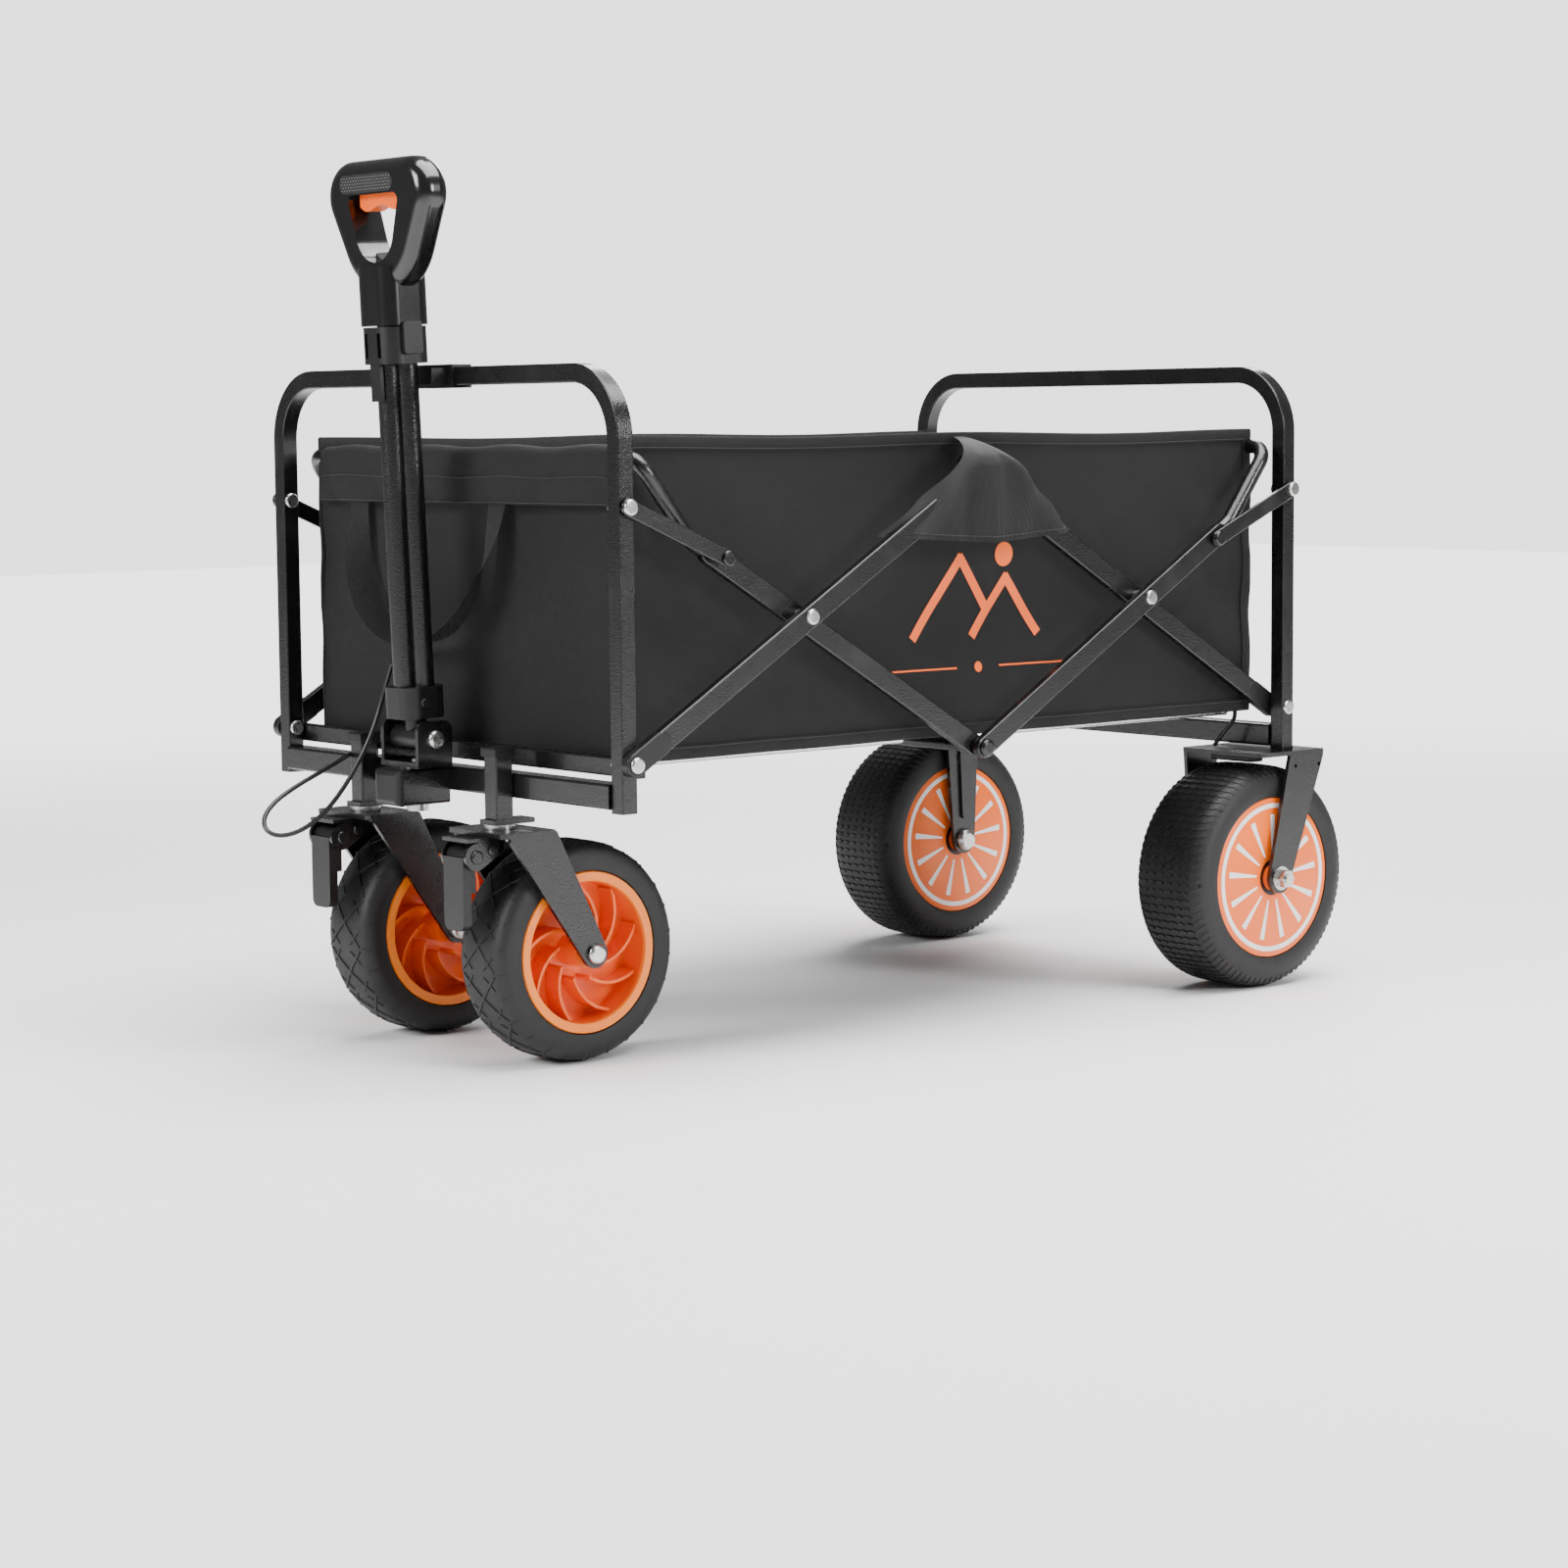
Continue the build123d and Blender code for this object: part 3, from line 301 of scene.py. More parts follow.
zinc = plated("zinc_plate", (0.45, 0.45, 0.44), (0.72, 0.72, 0.7), 0.18, 0.38)
paint(zinc, "front_fasteners", "rear_fasteners", "front_arm_rivets", "rear_arm_rivets", "caster_axle_near",
      "caster_axle_far", "yoke_bolt", "floor_front_rods",
      "floor_rear_rods")
chrome = plated("chrome_plate", (0.7, 0.7, 0.72), (0.85, 0.85, 0.87), 0.05, 0.12)
paint(chrome, "release_button")
bright_tube = plated("drawn_tube", (0.05, 0.05, 0.052), (0.09, 0.09, 0.092), 0.2, 0.32)
paint(bright_tube, "handle_inner_tube")

# Brake cables: steel wire in a smooth black polymer sheath. The front one leaves its boot on the handle,
# hangs in a loop beside the far caster and runs under the floor; the rear one drops to a wheel fork.
sheath = moulded("cable_sheath", (0.009, 0.009, 0.01), (0.015, 0.015, 0.016), 0.25, 0.38, 0.00002)
hoop_low, hoop_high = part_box("front_hoop")
front_plane = (hoop_low.x + hoop_high.x) / 2
rear_low, rear_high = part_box("rear_frame_tubes")
rear_plane = (rear_low.x + rear_high.x) / 2
cable_diameter = 0.004


def brake_cable(name, points, origin_x, node, body):
    """A cable on one smooth curve, measured from a hoop's plane."""
    route = bpy.data.curves.new(name, "CURVE")
    route.dimensions = "3D"
    route.bevel_depth = cable_diameter / 2
    route.bevel_resolution = 4
    route.resolution_u = 8
    route.use_fill_caps = True
    line = route.splines.new("NURBS")
    line.points.add(len(points) - 1)
    for point, (x, y, z) in zip(line.points, points):
        point.co = (origin_x + x, y, z, 1)
    line.order_u = 3
    line.use_endpoint_u = True
    route.materials.append(sheath)
    piece = bpy.data.objects.new(name, route)
    bpy.context.collection.objects.link(piece)
    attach(piece, body)
    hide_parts(node)
    x, y, z = points[0]


brake_cable("front_cable", [
    (-0.035, 0.0278, 0.326), (-0.0365, 0.0355, 0.309), (-0.041, 0.0385, 0.288), (-0.049, 0.040, 0.267),
    (-0.060, 0.042, 0.2455), (-0.0735, 0.044, 0.225), (-0.089, 0.047, 0.2065), (-0.105, 0.0505, 0.194),
    (-0.120, 0.055, 0.1875), (-0.1315, 0.062, 0.187), (-0.136, 0.071, 0.193), (-0.1305, 0.0785, 0.203),
    (-0.117, 0.082, 0.2135), (-0.098, 0.0835, 0.223), (-0.075, 0.087, 0.2315), (-0.050, 0.095, 0.2385),
    (-0.028, 0.1075, 0.2445), (-0.006, 0.1195, 0.2475),
], front_plane, "front_brake_cable", "front_frame")
rear_span = 0.765
brake_cable("rear_cable", [
    (0.735, -0.184, 0.2205), (0.7385, -0.190, 0.231), (0.741, -0.199, 0.241), (0.7395, -0.2065, 0.2495),
    (0.7355, -0.2085, 0.256),
], rear_plane - rear_span, "rear_brake_cable", "rear_frame")

# Basket walls: black coated polyester, cut flat and hung from the two bent tubes and the link corners,
# so that the cloth pulls towards its corners, bellies a little inwards and creases along its bottom hem.
weave_group, weave_in, weave_out = effect_group("plain_weave", {"Threads": 1500}, ("Weave", "Creases"))
cloth_place = add_node(weave_group, "ShaderNodeTexCoord")
cloth_axes = add_node(weave_group, "ShaderNodeSeparateXYZ", [(cloth_place.outputs["UV"], "Vector")])
thread_waves = []
for axis in ("X", "Y"):
    turns = add_node(weave_group, "ShaderNodeMath", [(cloth_axes.outputs[axis], 0), (weave_in.outputs[0], 1)],
                     operation="MULTIPLY")
    wave = add_node(weave_group, "ShaderNodeMath", [(turns.outputs[0], 0)], operation="SINE")
    thread_waves.append(wave.outputs[0])
crossing = add_node(weave_group, "ShaderNodeMath", [(thread_waves[0], 0), (thread_waves[1], 1)],
                    operation="MULTIPLY")
creases = add_node(weave_group, "ShaderNodeTexNoise", [(cloth_place.outputs["Object"], "Vector")])
creases.inputs["Scale"].default_value = 28
creases.inputs["Detail"].default_value = 5
weave_group.links.new(crossing.outputs[0], weave_out.inputs["Weave"])
weave_group.links.new(creases.outputs[0], weave_out.inputs["Creases"])


def woven(name, dark, light, threads, relief, roughness, sheen):
    """A woven cloth: two close tones, a thread relief and uneven gloss."""
    material, shader = finish(name, dark, roughness, Sheen_Weight=sheen, Sheen_Roughness=0.4,
                              Specular_IOR_Level=0.28)
    weave = place_group(material, weave_group, Threads=threads)
    shade_between(material, shader, weave.outputs["Creases"], dark, light)
    roughen_between(material, shader, weave.outputs["Creases"], roughness - 0.1, roughness + 0.12)
    raise_by(material, shader, weave.outputs["Weave"], relief)
    return material


polyester = woven("black_polyester", (0.0022, 0.0022, 0.0025), (0.0055, 0.0055, 0.006), 9000, 0.0001, 0.62,
                  0.03)
tape_cloth = woven("edge_tape", (0.002, 0.002, 0.0022), (0.005, 0.005, 0.0055), 4200, 0.0002, 0.62, 0.04)
webbing = woven("webbing", (0.003, 0.003, 0.003), (0.009, 0.009, 0.009), 2600, 0.0005, 0.5, 0.06)


def cloth(name, point, columns, rows, thickness, material):
    """A sheet through point(u, v), u and v from 0 to 1, with its thickness behind it and UVs in metres."""
    mesh = bpy.data.meshes.new(name)
    shape = bmesh.new()
    layer = shape.loops.layers.uv.new("cloth")
    grid = [[Vector(point(i / columns, j / rows)) for i in range(columns + 1)] for j in range(rows + 1)]
    corners = [[shape.verts.new(place) for place in row] for row in grid]
    width = sum((a - b).length for a, b in zip(grid[0], grid[0][1:]))
    height = sum((a[0] - b[0]).length for a, b in zip(grid, grid[1:]))
    for j in range(rows):
        for i in range(columns):
            around = ((i, j), (i + 1, j), (i + 1, j + 1), (i, j + 1))
            face = shape.faces.new([corners[b][a] for a, b in around])
            face.smooth = True
            for loop, (a, b) in zip(face.loops, around):
                loop[layer].uv = (width * a / columns, height * b / rows)
    bmesh.ops.solidify(shape, geom=list(shape.faces), thickness=thickness)
    bmesh.ops.remove_doubles(shape, verts=shape.verts, dist=1e-6)
    bmesh.ops.recalc_face_normals(shape, faces=shape.faces)
    shape.to_mesh(mesh)
    shape.free()
    mesh.materials.append(material)
    piece = bpy.data.objects.new(name, mesh)
    bpy.context.collection.objects.link(piece)
    return piece


side_low, side_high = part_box("basket_side_near")
side_length = side_high.x - side_low.x
side_height = side_high.z - side_low.z
side_out = -side_low.y
cloth_thickness = 0.0012
top_sag, belly_depth, crease_depth, hem_ripple, rumple_depth = 0.0025, 0.009, 0.0016, 0.0022, 0.005
corner_reach, bulge_limit = 0.16, 0.0008


def side_cloth(side, u, v, proud=0.0):
    """A point on a side wall's outer face; side is -1 near and 1 far."""
    x, z = side_low.x + side_length * u, side_low.z + side_height * v
    middle = max(0.0, math.sin(pi * u) * math.sin(pi * v))
    drop = top_sag * math.sin(2 * pi * u) ** 2 * v**3
    belly = belly_depth * middle**0.7
    pull = math.exp(-((u / corner_reach) ** 2)) + math.exp(-(((1 - u) / corner_reach) ** 2))
    slant = math.sin(46 * (u + 0.45 * v) + 1.3 * side) * crease_depth * pull * math.sin(pi * v)
    hem_wave = hem_ripple * math.sin(31 * u + 2.0) * (1 - v) ** 3 * math.sin(pi * u)
    rumple = rumple_depth * noise.noise(Vector((x * 11, 3.1 * side, z * 13))) * middle
    inwards = max(belly + slant + hem_wave + rumple, -bulge_limit) - proud
    return (x, side * (side_out - inwards), z - drop)


def follow_fold(piece):
    """A side piece rides on the front end wall, with a mesh of its own."""
    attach(piece, "front_panel")
    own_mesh(piece)


sides = {"near": -1, "far": 1}
for side_name, side in sides.items():
    wall = cloth(f"side_wall_{side_name}", lambda u, v: side_cloth(side, u, v), 150, 54, cloth_thickness,
                 polyester)
    follow_fold(wall)
    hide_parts(f"basket_side_{side_name}")

# Edge tape: polyester webbing folded over every raw edge of the side walls and sewn through.
tape_width, tape_stand = 0.010, 0.0011


def edge_tape(name, side, along_u, edge):
    """A folded tape along one edge of a side wall; along_u is True for the top and bottom edges."""
    across = tape_width / (side_height if along_u else side_length)
    turn_out = -across * 0.12
    fold = [(across, tape_stand), (across * 0.5, tape_stand + 0.0003), (0.0, tape_stand), (turn_out, 0.0),
            (turn_out, -cloth_thickness), (0.0, -cloth_thickness - tape_stand),
            (across, -cloth_thickness - tape_stand)]

    def place(t, w):
        index = min(int(w * (len(fold) - 1)), len(fold) - 2)
        share = w * (len(fold) - 1) - index
        inset = fold[index][0] * (1 - share) + fold[index + 1][0] * share
        proud = fold[index][1] * (1 - share) + fold[index + 1][1] * share
        offset = inset if edge == 0 else 1 - inset
        u, v = (t, offset) if along_u else (offset, t)
        return side_cloth(side, u, v, proud)

    tape = cloth(name, place, 120 if along_u else 40, len(fold) - 1, 0.0005, tape_cloth)
    follow_fold(tape)
    return tape


for side_name, side in sides.items():
    tapes = [
        edge_tape(f"top_tape_{side_name}", side, True, 1),
        edge_tape(f"bottom_tape_{side_name}", side, True, 0),
        edge_tape(f"front_tape_{side_name}", side, False, 0),
        edge_tape(f"rear_tape_{side_name}", side, False, 1),
    ]


# End walls: the same cloth, with a sleeve that is wrapped over each bent tube and sewn down as a deep flap.
# Each wall rides on its own end of the frame, and its hem is sewn to the floor.
def smooth_path(points, share):
    """A point on a rounded line through the given points, by equal steps between them."""
    place = share * (len(points) - 1)
    index = min(int(place), len(points) - 2)
    part = place - index
    a, b = points[max(index - 1, 0)], points[index]
    c, d = points[index + 1], points[min(index + 2, len(points) - 1)]
    return tuple(
        0.5 * (2 * q + (r - p) * part + (2 * p - 5 * q + 4 * r - s) * part**2
               + (3 * q - p - 3 * r + s) * part**3)
        for p, q, r, s in zip(a, b, c, d)
    )


tube_inset, tube_z = 0.022, 0.497
tube_x = front_plane + tube_inset
wall_half, flap_half, flap_bottom, sleeve_run = 0.2145, 0.206, 0.458, 0.093
sleeve_profile = [
    (0.0086, 0.468), (0.0088, 0.480), (0.0092, 0.492), (0.0072, 0.5015), (0.0, 0.5055), (-0.0072, 0.5015),
    (-0.0092, 0.492), (-0.0098, 0.480), (-0.0105, 0.468), (-0.0112, flap_bottom),
]
ends = {
    "front": (tube_x, 1, "front_panel"), "rear": (front_plane + rear_span - tube_inset, -1, "rear_panel")
}
for end_name, (end_x, inner, body) in ends.items():
    def wall_point(u, v):
        y = wall_half * (2 * u - 1)
        belly = 0.007 * max(0.0, math.sin(pi * u) * math.sin(pi * v)) ** 0.8
        pull = 0.0018 * math.sin(5.5 * pi * u + 2.2 * v) * (1 - v) * math.sin(pi * u)
        rumple = 0.004 * noise.noise(Vector((y * 12, v * 3.2, inner * 5.0))) * math.sin(pi * v)
        z = side_low.z + 0.004 + v * (tube_z - 0.012 - side_low.z)
        return (end_x + inner * (-0.002 + belly + pull + rumple), y, z)

    wall = cloth(f"{end_name}_wall", wall_point, 90, 44, cloth_thickness, polyester)
    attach(wall, body)
    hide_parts(f"basket_{end_name}_panel")

    def sleeve_point(u, v):
        y = flap_half * (2 * u - 1)
        back, z = smooth_path(sleeve_profile, v)
        hang = max(0.0, v - 0.55) / 0.45
        rumple = 0.003 * noise.noise(Vector((y * 16, v * 2.5, 4.0)))
        ripple = 0.0016 * math.sin(17 * u + 3 * v) * hang + rumple * hang
        pinch = 0.0035 * (math.exp(-((u / 0.05) ** 2)) + math.exp(-(((1 - u) / 0.05) ** 2))) * hang
        lift = 0.0012 * math.sin(23 * u) * math.sin(pi * v)
        return (end_x + inner * (back - abs(ripple) + pinch), y, z + lift)

    sleeve = cloth(f"{end_name}_sleeve", sleeve_point, 100, 36, -cloth_thickness, polyester)
    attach(sleeve, body)
    ends[end_name] = (end_x, inner, body, sleeve_point)

# Stitches: a lockstitch in slightly lighter thread, along the hems of both sleeve flaps and just inside
# the top and bottom edge tapes of each side wall, about three to the centimetre.
stitch_pitch, stitch_length, stitch_radius = 0.0034, 0.0025, 0.00034
thread = woven("sewing_thread", (0.02, 0.02, 0.02), (0.045, 0.045, 0.045), 900, 0.0001, 0.5, 0.2)


def geometry_tree(name, **inputs):
    """An empty geometry tree with named number, count and material inputs; returns it and its end nodes."""
    tree = bpy.data.node_groups.new(name, "GeometryNodeTree")
    tree.interface.new_socket("Geometry", in_out="INPUT", socket_type="NodeSocketGeometry")
    kinds = {float: "NodeSocketFloat", int: "NodeSocketInt", bpy.types.Material: "NodeSocketMaterial",
             tuple: "NodeSocketVector"}
    for label, value in inputs.items():
        socket = tree.interface.new_socket(label.replace("_", " "), in_out="INPUT",
                                           socket_type=kinds[type(value)])
        socket.default_value = value
    tree.interface.new_socket("Geometry", in_out="OUTPUT", socket_type="NodeSocketGeometry")
    return tree, tree.nodes.new("NodeGroupInput"), tree.nodes.new("NodeGroupOutput")


def grow(piece, tree, **values):
    """Runs a tree on a piece with its own input values, and keeps the result as a plain mesh."""
    modifier = piece.modifiers.new(tree.name, "NODES")
    modifier.node_group = tree
    for item in tree.interface.items_tree:
        key = item.name.replace(" ", "_")
        if item.in_out == "INPUT" and key in values:
            modifier[item.identifier] = values[key]
    made = bpy.data.meshes.new_from_object(piece.evaluated_get(bpy.context.evaluated_depsgraph_get()))
    piece.modifiers.clear()
    piece.data = made
    made.name = piece.name
    return piece


def finish_tree(tree, ends_in, instances, material_socket):
    """Closes a tree with Realize Instances and Set Material, as plain geometry."""
    real = add_node(tree, "GeometryNodeRealizeInstances", [(instances, 0)])
    coloured = add_node(tree, "GeometryNodeSetMaterial", [(real.outputs[0], "Geometry"),
                                                        (material_socket, "Material")])
    tree.links.new(coloured.outputs[0], ends_in.inputs[0])


stitch_tree, stitch_in, stitch_out = geometry_tree("stitch_line", Pitch=stitch_pitch, Length=stitch_length,
                                                   Radius=stitch_radius, Thread=thread)
stitch_curve = add_node(stitch_tree, "GeometryNodeMeshToCurve", [(stitch_in.outputs["Geometry"], 0)])
stitch_points = add_node(stitch_tree, "GeometryNodeResampleCurve", [(stitch_curve.outputs[0], "Curve"),
                                                                  (stitch_in.outputs["Pitch"], "Length")],
                         mode="LENGTH")
stitch_shape = add_node(stitch_tree, "GeometryNodeMeshCylinder", [(stitch_in.outputs["Radius"], "Radius"),
                                                                (stitch_in.outputs["Length"], "Depth")])
stitch_shape.inputs["Vertices"].default_value = 6
stitch_tangent = add_node(stitch_tree, "GeometryNodeInputTangent")
stitch_turn = add_node(stitch_tree, "FunctionNodeAlignRotationToVector",
                       [(stitch_tangent.outputs[0], "Vector")], axis="Z")
stitch_copies = add_node(stitch_tree, "GeometryNodeInstanceOnPoints", [
    (stitch_points.outputs[0], "Points"), (stitch_shape.outputs[0], "Instance"),
    (stitch_turn.outputs[0], "Rotation")])
finish_tree(stitch_tree, stitch_out, stitch_copies.outputs[0], stitch_in.outputs["Thread"])


def stitch_along(name, points):
    """Stitches laid along a line of points on the cloth."""
    mesh = bpy.data.meshes.new(name)
    mesh.from_pydata(points, [(i, i + 1) for i in range(len(points) - 1)], [])
    piece = bpy.data.objects.new(name, mesh)
    bpy.context.collection.objects.link(piece)
    grow(piece, stitch_tree, Thread=thread)
    return piece


for end_name, (end_x, inner, body, sleeve_point) in ends.items():
    for row_name, share in (("upper", 0.775), ("lower", 0.975)):
        line = []
        for i in range(101):
            x, y, z = sleeve_point(0.01 + 0.98 * i / 100, share)
            line.append((x - inner * 0.0003, y, z))
        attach(stitch_along(f"{end_name}_sleeve_stitch_{row_name}", line), body)
for side_name, side in sides.items():
    inset = 0.0082 / side_height
    for row_name, v in (("top", 1 - inset), ("bottom", inset)):
        line = [side_cloth(side, 0.012 + 0.976 * i / 150, v, tape_stand + 0.0006) for i in range(151)]
        follow_fold(stitch_along(f"side_stitch_{row_name}_{side_name}", line))

# Basket floor: the same cloth sewn round two stiff halves, with a plain band between them where it folds.
for node, body, rods in (("floor_front_half", "front_floor", "floor_front_rods"),
                         ("floor_rear_half", "rear_floor", "floor_rear_rods"),
                         ("floor_centre_band", "floor_band", "floor_rear_rods")):
    low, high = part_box(node)

    def floor_point(u, v):
        x, y = low.x + (high.x - low.x) * u, low.y + (high.y - low.y) * v
        rumple = 0.0012 * noise.noise(Vector((x * 14, y * 14, 1.7)))
        return (x, y, high.z + rumple - 0.0008)

    columns = 60 if high.x - low.x > 0.1 else 8
    floor_cloth = cloth(f"{body}_cloth", floor_point, columns, 60, high.z - low.z - 0.001, polyester)
    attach(floor_cloth, body)
    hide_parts(node)

# Pivot cover: a triangle of the same cloth, sewn to the top tape over each side's middle pivot and left to
# hang over the arm ends, with two slack folds running down from its point.
cover_half, cover_top, cover_bottom = 0.110, 0.5095, 0.424
cover_x = (front_plane + rear_plane) / 2 - 0.005
cover_out, point_half, cover_hem = 0.262, 0.006, 0.012
for side_name, side in sides.items():
    def cover_point(u, v):
        across = 2 * u - 1
        x = cover_x + across * (cover_half * v + point_half * (1 - v))
        lip = 0.010 * (1 - across * across) * v * v
        z = cover_top - (cover_top - cover_bottom) * v + 0.004 * abs(across) * v - lip * 0.3
        rise = min(1.0, v / 0.3)
        fold = 0.0035 * math.sin(9.0 * across + 0.8) * v + 0.002 * math.sin(17 * across * v + 2)
        out = side_out + 0.002 + (cover_out - side_out) * math.sin(rise * pi / 2) ** 0.8
        out -= (0.020 * across**4) * v
        return (x, side * (out + fold * rise), z)

    cover = cloth(f"pivot_cover_{side_name}", cover_point, 54, 40, cloth_thickness, polyester)
    follow_fold(cover)
    thread_out = Vector((0, side * 0.0005, 0))
    hem_line = [Vector(cover_point(0.02 + 0.96 * i / 60, 0.95)) + thread_out for i in range(61)]
    hem = stitch_along(f"pivot_cover_stitch_{side_name}", hem_line)
    follow_fold(hem)

# Carry loop: one length of 25 mm webbing whose ends are sewn under the front sleeve flap; it hangs in a U
# and turns edge-on to the wall at its lowest point.
loop_width = 0.025
loop_line = [
    (0.1440, 0.466), (0.1450, 0.440), (0.1400, 0.405), (0.1180, 0.368), (0.0850, 0.346), (0.0480, 0.340),
    (0.0100, 0.348), (-0.0220, 0.372), (-0.0420, 0.408), (-0.0530, 0.440), (-0.0570, 0.466),
]
wall_face = tube_x - 0.0045


def loop_point(u, v):
    y, z = smooth_path(loop_line, v)
    y1, z1 = smooth_path(loop_line, min(v + 0.004, 1.0))
    y0, z0 = smooth_path(loop_line, max(v - 0.004, 0.0))
    run = Vector((0, y1 - y0, z1 - z0)).normalized()
    flat = Vector((0, -run.z, run.y))
    edge_on = math.sin(pi * v) ** 1.5
    across = (flat * (1 - edge_on) + Vector((-1, 0, 0)) * edge_on).normalized()
    stand = 0.003 + 0.014 * edge_on
    return Vector((wall_face - stand, y, z)) + across * (loop_width * (u - 0.5))


loop = cloth("carry_loop", loop_point, 6, 110, 0.0015, webbing)
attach(loop, "front_panel")

# Side print: a plain peak-and-sun mark over two thin rules, in orange ink pressed onto each side wall.
ink, ink_shader = finish("orange_ink", (0.86, 0.11, 0.002), 0.5)
ink_weave = place_group(ink, weave_group, Threads=5000)
shade_between(ink, ink_shader, ink_weave.outputs["Creases"], (0.84, 0.1, 0.0015), (0.94, 0.14, 0.003))
raise_by(ink, ink_shader, ink_weave.outputs["Weave"], 0.00008)
mark_x, mark_z = front_plane + 0.408, 0.358
mark_strokes = [
    ((-0.072, -0.018), (-0.020, 0.048), 0.0085), ((-0.020, 0.048), (0.010, 0.006), 0.0085),
    ((-0.004, -0.018), (0.034, 0.030), 0.0085), ((0.034, 0.030), (0.072, -0.018), 0.0085),
    ((-0.100, -0.046), (-0.026, -0.046), 0.0016), ((0.026, -0.046), (0.100, -0.046), 0.0016),
]
mark_dots = [("sun", 0.031, 0.050, 0.0105, 32, 3), ("dot", 0.0, -0.046, 0.0045, 24, 2)]


def on_side(side, x, z, proud):
    """A point pressed on a side wall at x, z."""
    return side_cloth(side, (x - side_low.x) / side_length, (z - side_low.z) / side_height, proud)


for side_name, side in sides.items():
    prints = []
    for number, (start, end, width) in enumerate(mark_strokes):
        run = Vector(end) - Vector(start)
        beside = Vector((-run.y, run.x)).normalized() * width / 2
        ahead = run.normalized() * width * 0.3

        def stroke_point(u, v):
            spot = Vector(start) - ahead + (run + 2 * ahead) * u + beside * (2 * v - 1)
            return on_side(side, mark_x + spot.x, mark_z + spot.y, 0.0004 + 0.00002 * number)

        prints.append(cloth(f"mark_{side_name}_{number}", stroke_point, 28, 4, 0.0003, ink))

    for name, x, z, full, columns, rows in mark_dots:
        def disc_point(u, v):
            radius = full * v + 0.0001
            return on_side(side, mark_x + x + radius * math.cos(2 * pi * u),
                           mark_z + z + radius * math.sin(2 * pi * u), 0.0004)

        prints.append(cloth(f"mark_{name}_{side_name}", disc_point, columns, rows, 0.0003, ink))
    for piece in prints:
        follow_fold(piece)

# Front tyres: foam-filled moulded rubber with a low crossing-bar tread, sipes over both shoulders, and a
# plain sidewall that folds in to the orange rim.
tyre_rubber = moulded("tyre_rubber", (0.005, 0.005, 0.0055), (0.011, 0.011, 0.0115), 0.46, 0.62, 0.0003, 260,
                      Specular_IOR_Level=0.4)
turned_steps = 128


def turned(name, outline, centre, material, body, steps=turned_steps):
    """A closed outline of (radius, y) turned round an axle along Y."""
    mesh = bpy.data.meshes.new(name)
    count = len(outline)
    corners, faces = [], []
    for i in range(steps):
        angle = 2 * pi * i / steps
        here, ahead = i * count, (i + 1) % steps * count
        for j, (radius, y) in enumerate(outline):
            corners.append((centre.x + radius * math.cos(angle), centre.y + y,
                            centre.z + radius * math.sin(angle)))
            after = (j + 1) % count
            faces.append((here + j, here + after, ahead + after, ahead + j))
    mesh.from_pydata(corners, [], faces)
    shape = bmesh.new()
    shape.from_mesh(mesh)
    bmesh.ops.recalc_face_normals(shape, faces=shape.faces)
    for face in shape.faces:
        face.smooth = True
    shape.to_mesh(mesh)
    shape.free()
    mesh.materials.append(material)
    mesh.set_sharp_from_angle(angle=math.radians(38))
    piece = bpy.data.objects.new(name, mesh)
    bpy.context.collection.objects.link(piece)
    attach(piece, body)
    return piece


def wheel_centre(node):
    low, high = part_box(node)
    return (low + high) / 2


# Each tyre's crown is a rounded line of (radius, y); the tread stands on it and shares its shape
front_crown = [(0.0680, 0.0300), (0.0720, 0.0309), (0.0790, 0.0308), (0.0838, 0.0295), (0.0872, 0.0268),
               (0.0893, 0.0228), (0.0903, 0.0160), (0.0907, 0.0080), (0.0908, 0.0000)]


def crown_radius(crown, y):
    """The crown's radius at a distance y from the wheel's middle plane."""
    y = abs(y)
    for (r0, y0), (r1, y1) in zip(crown[::-1], crown[::-1][1:]):
        if y0 <= y <= y1:
            return r0 + (r1 - r0) * (y - y0) / (y1 - y0)
    return crown[2][0]


def tyre_outline(crown, bead):
    outer = [*crown, *[(r, -y) for r, y in crown[-2::-1]]]
    return [*outer, (bead, -crown[0][1] + 0.002), (bead, crown[0][1] - 0.002)]


tread_tree, tread_in, tread_out = geometry_tree("round_the_wheel", Count=14, Centre=(0.0, 0.0, 0.0),
                                                Rubber=tyre_rubber)
tread_line = add_node(tread_tree, "GeometryNodeMeshLine", [(tread_in.outputs["Count"], "Count")])
tread_line.inputs["Offset"].default_value = (0, 0, 0)
tread_index = add_node(tread_tree, "GeometryNodeInputIndex")
tread_step = add_node(tread_tree, "ShaderNodeMath", [(tread_in.outputs["Count"], 1)], operation="DIVIDE")
tread_step.inputs[0].default_value = 2 * pi
tread_angle = add_node(tread_tree, "ShaderNodeMath", [(tread_index.outputs[0], 0),
                                                      (tread_step.outputs[0], 1)], operation="MULTIPLY")
tread_turn = add_node(tread_tree, "ShaderNodeCombineXYZ", [(tread_angle.outputs[0], "Y")])
tread_copies = add_node(tread_tree, "GeometryNodeInstanceOnPoints", [
    (tread_line.outputs[0], "Points"), (tread_in.outputs["Geometry"], "Instance"),
    (tread_turn.outputs[0], "Rotation")])
tread_place = add_node(tread_tree, "GeometryNodeTransform", [
    (tread_copies.outputs[0], "Geometry"), (tread_in.outputs["Centre"], "Translation")])
finish_tree(tread_tree, tread_out, tread_place.outputs[0], tread_in.outputs["Rubber"])


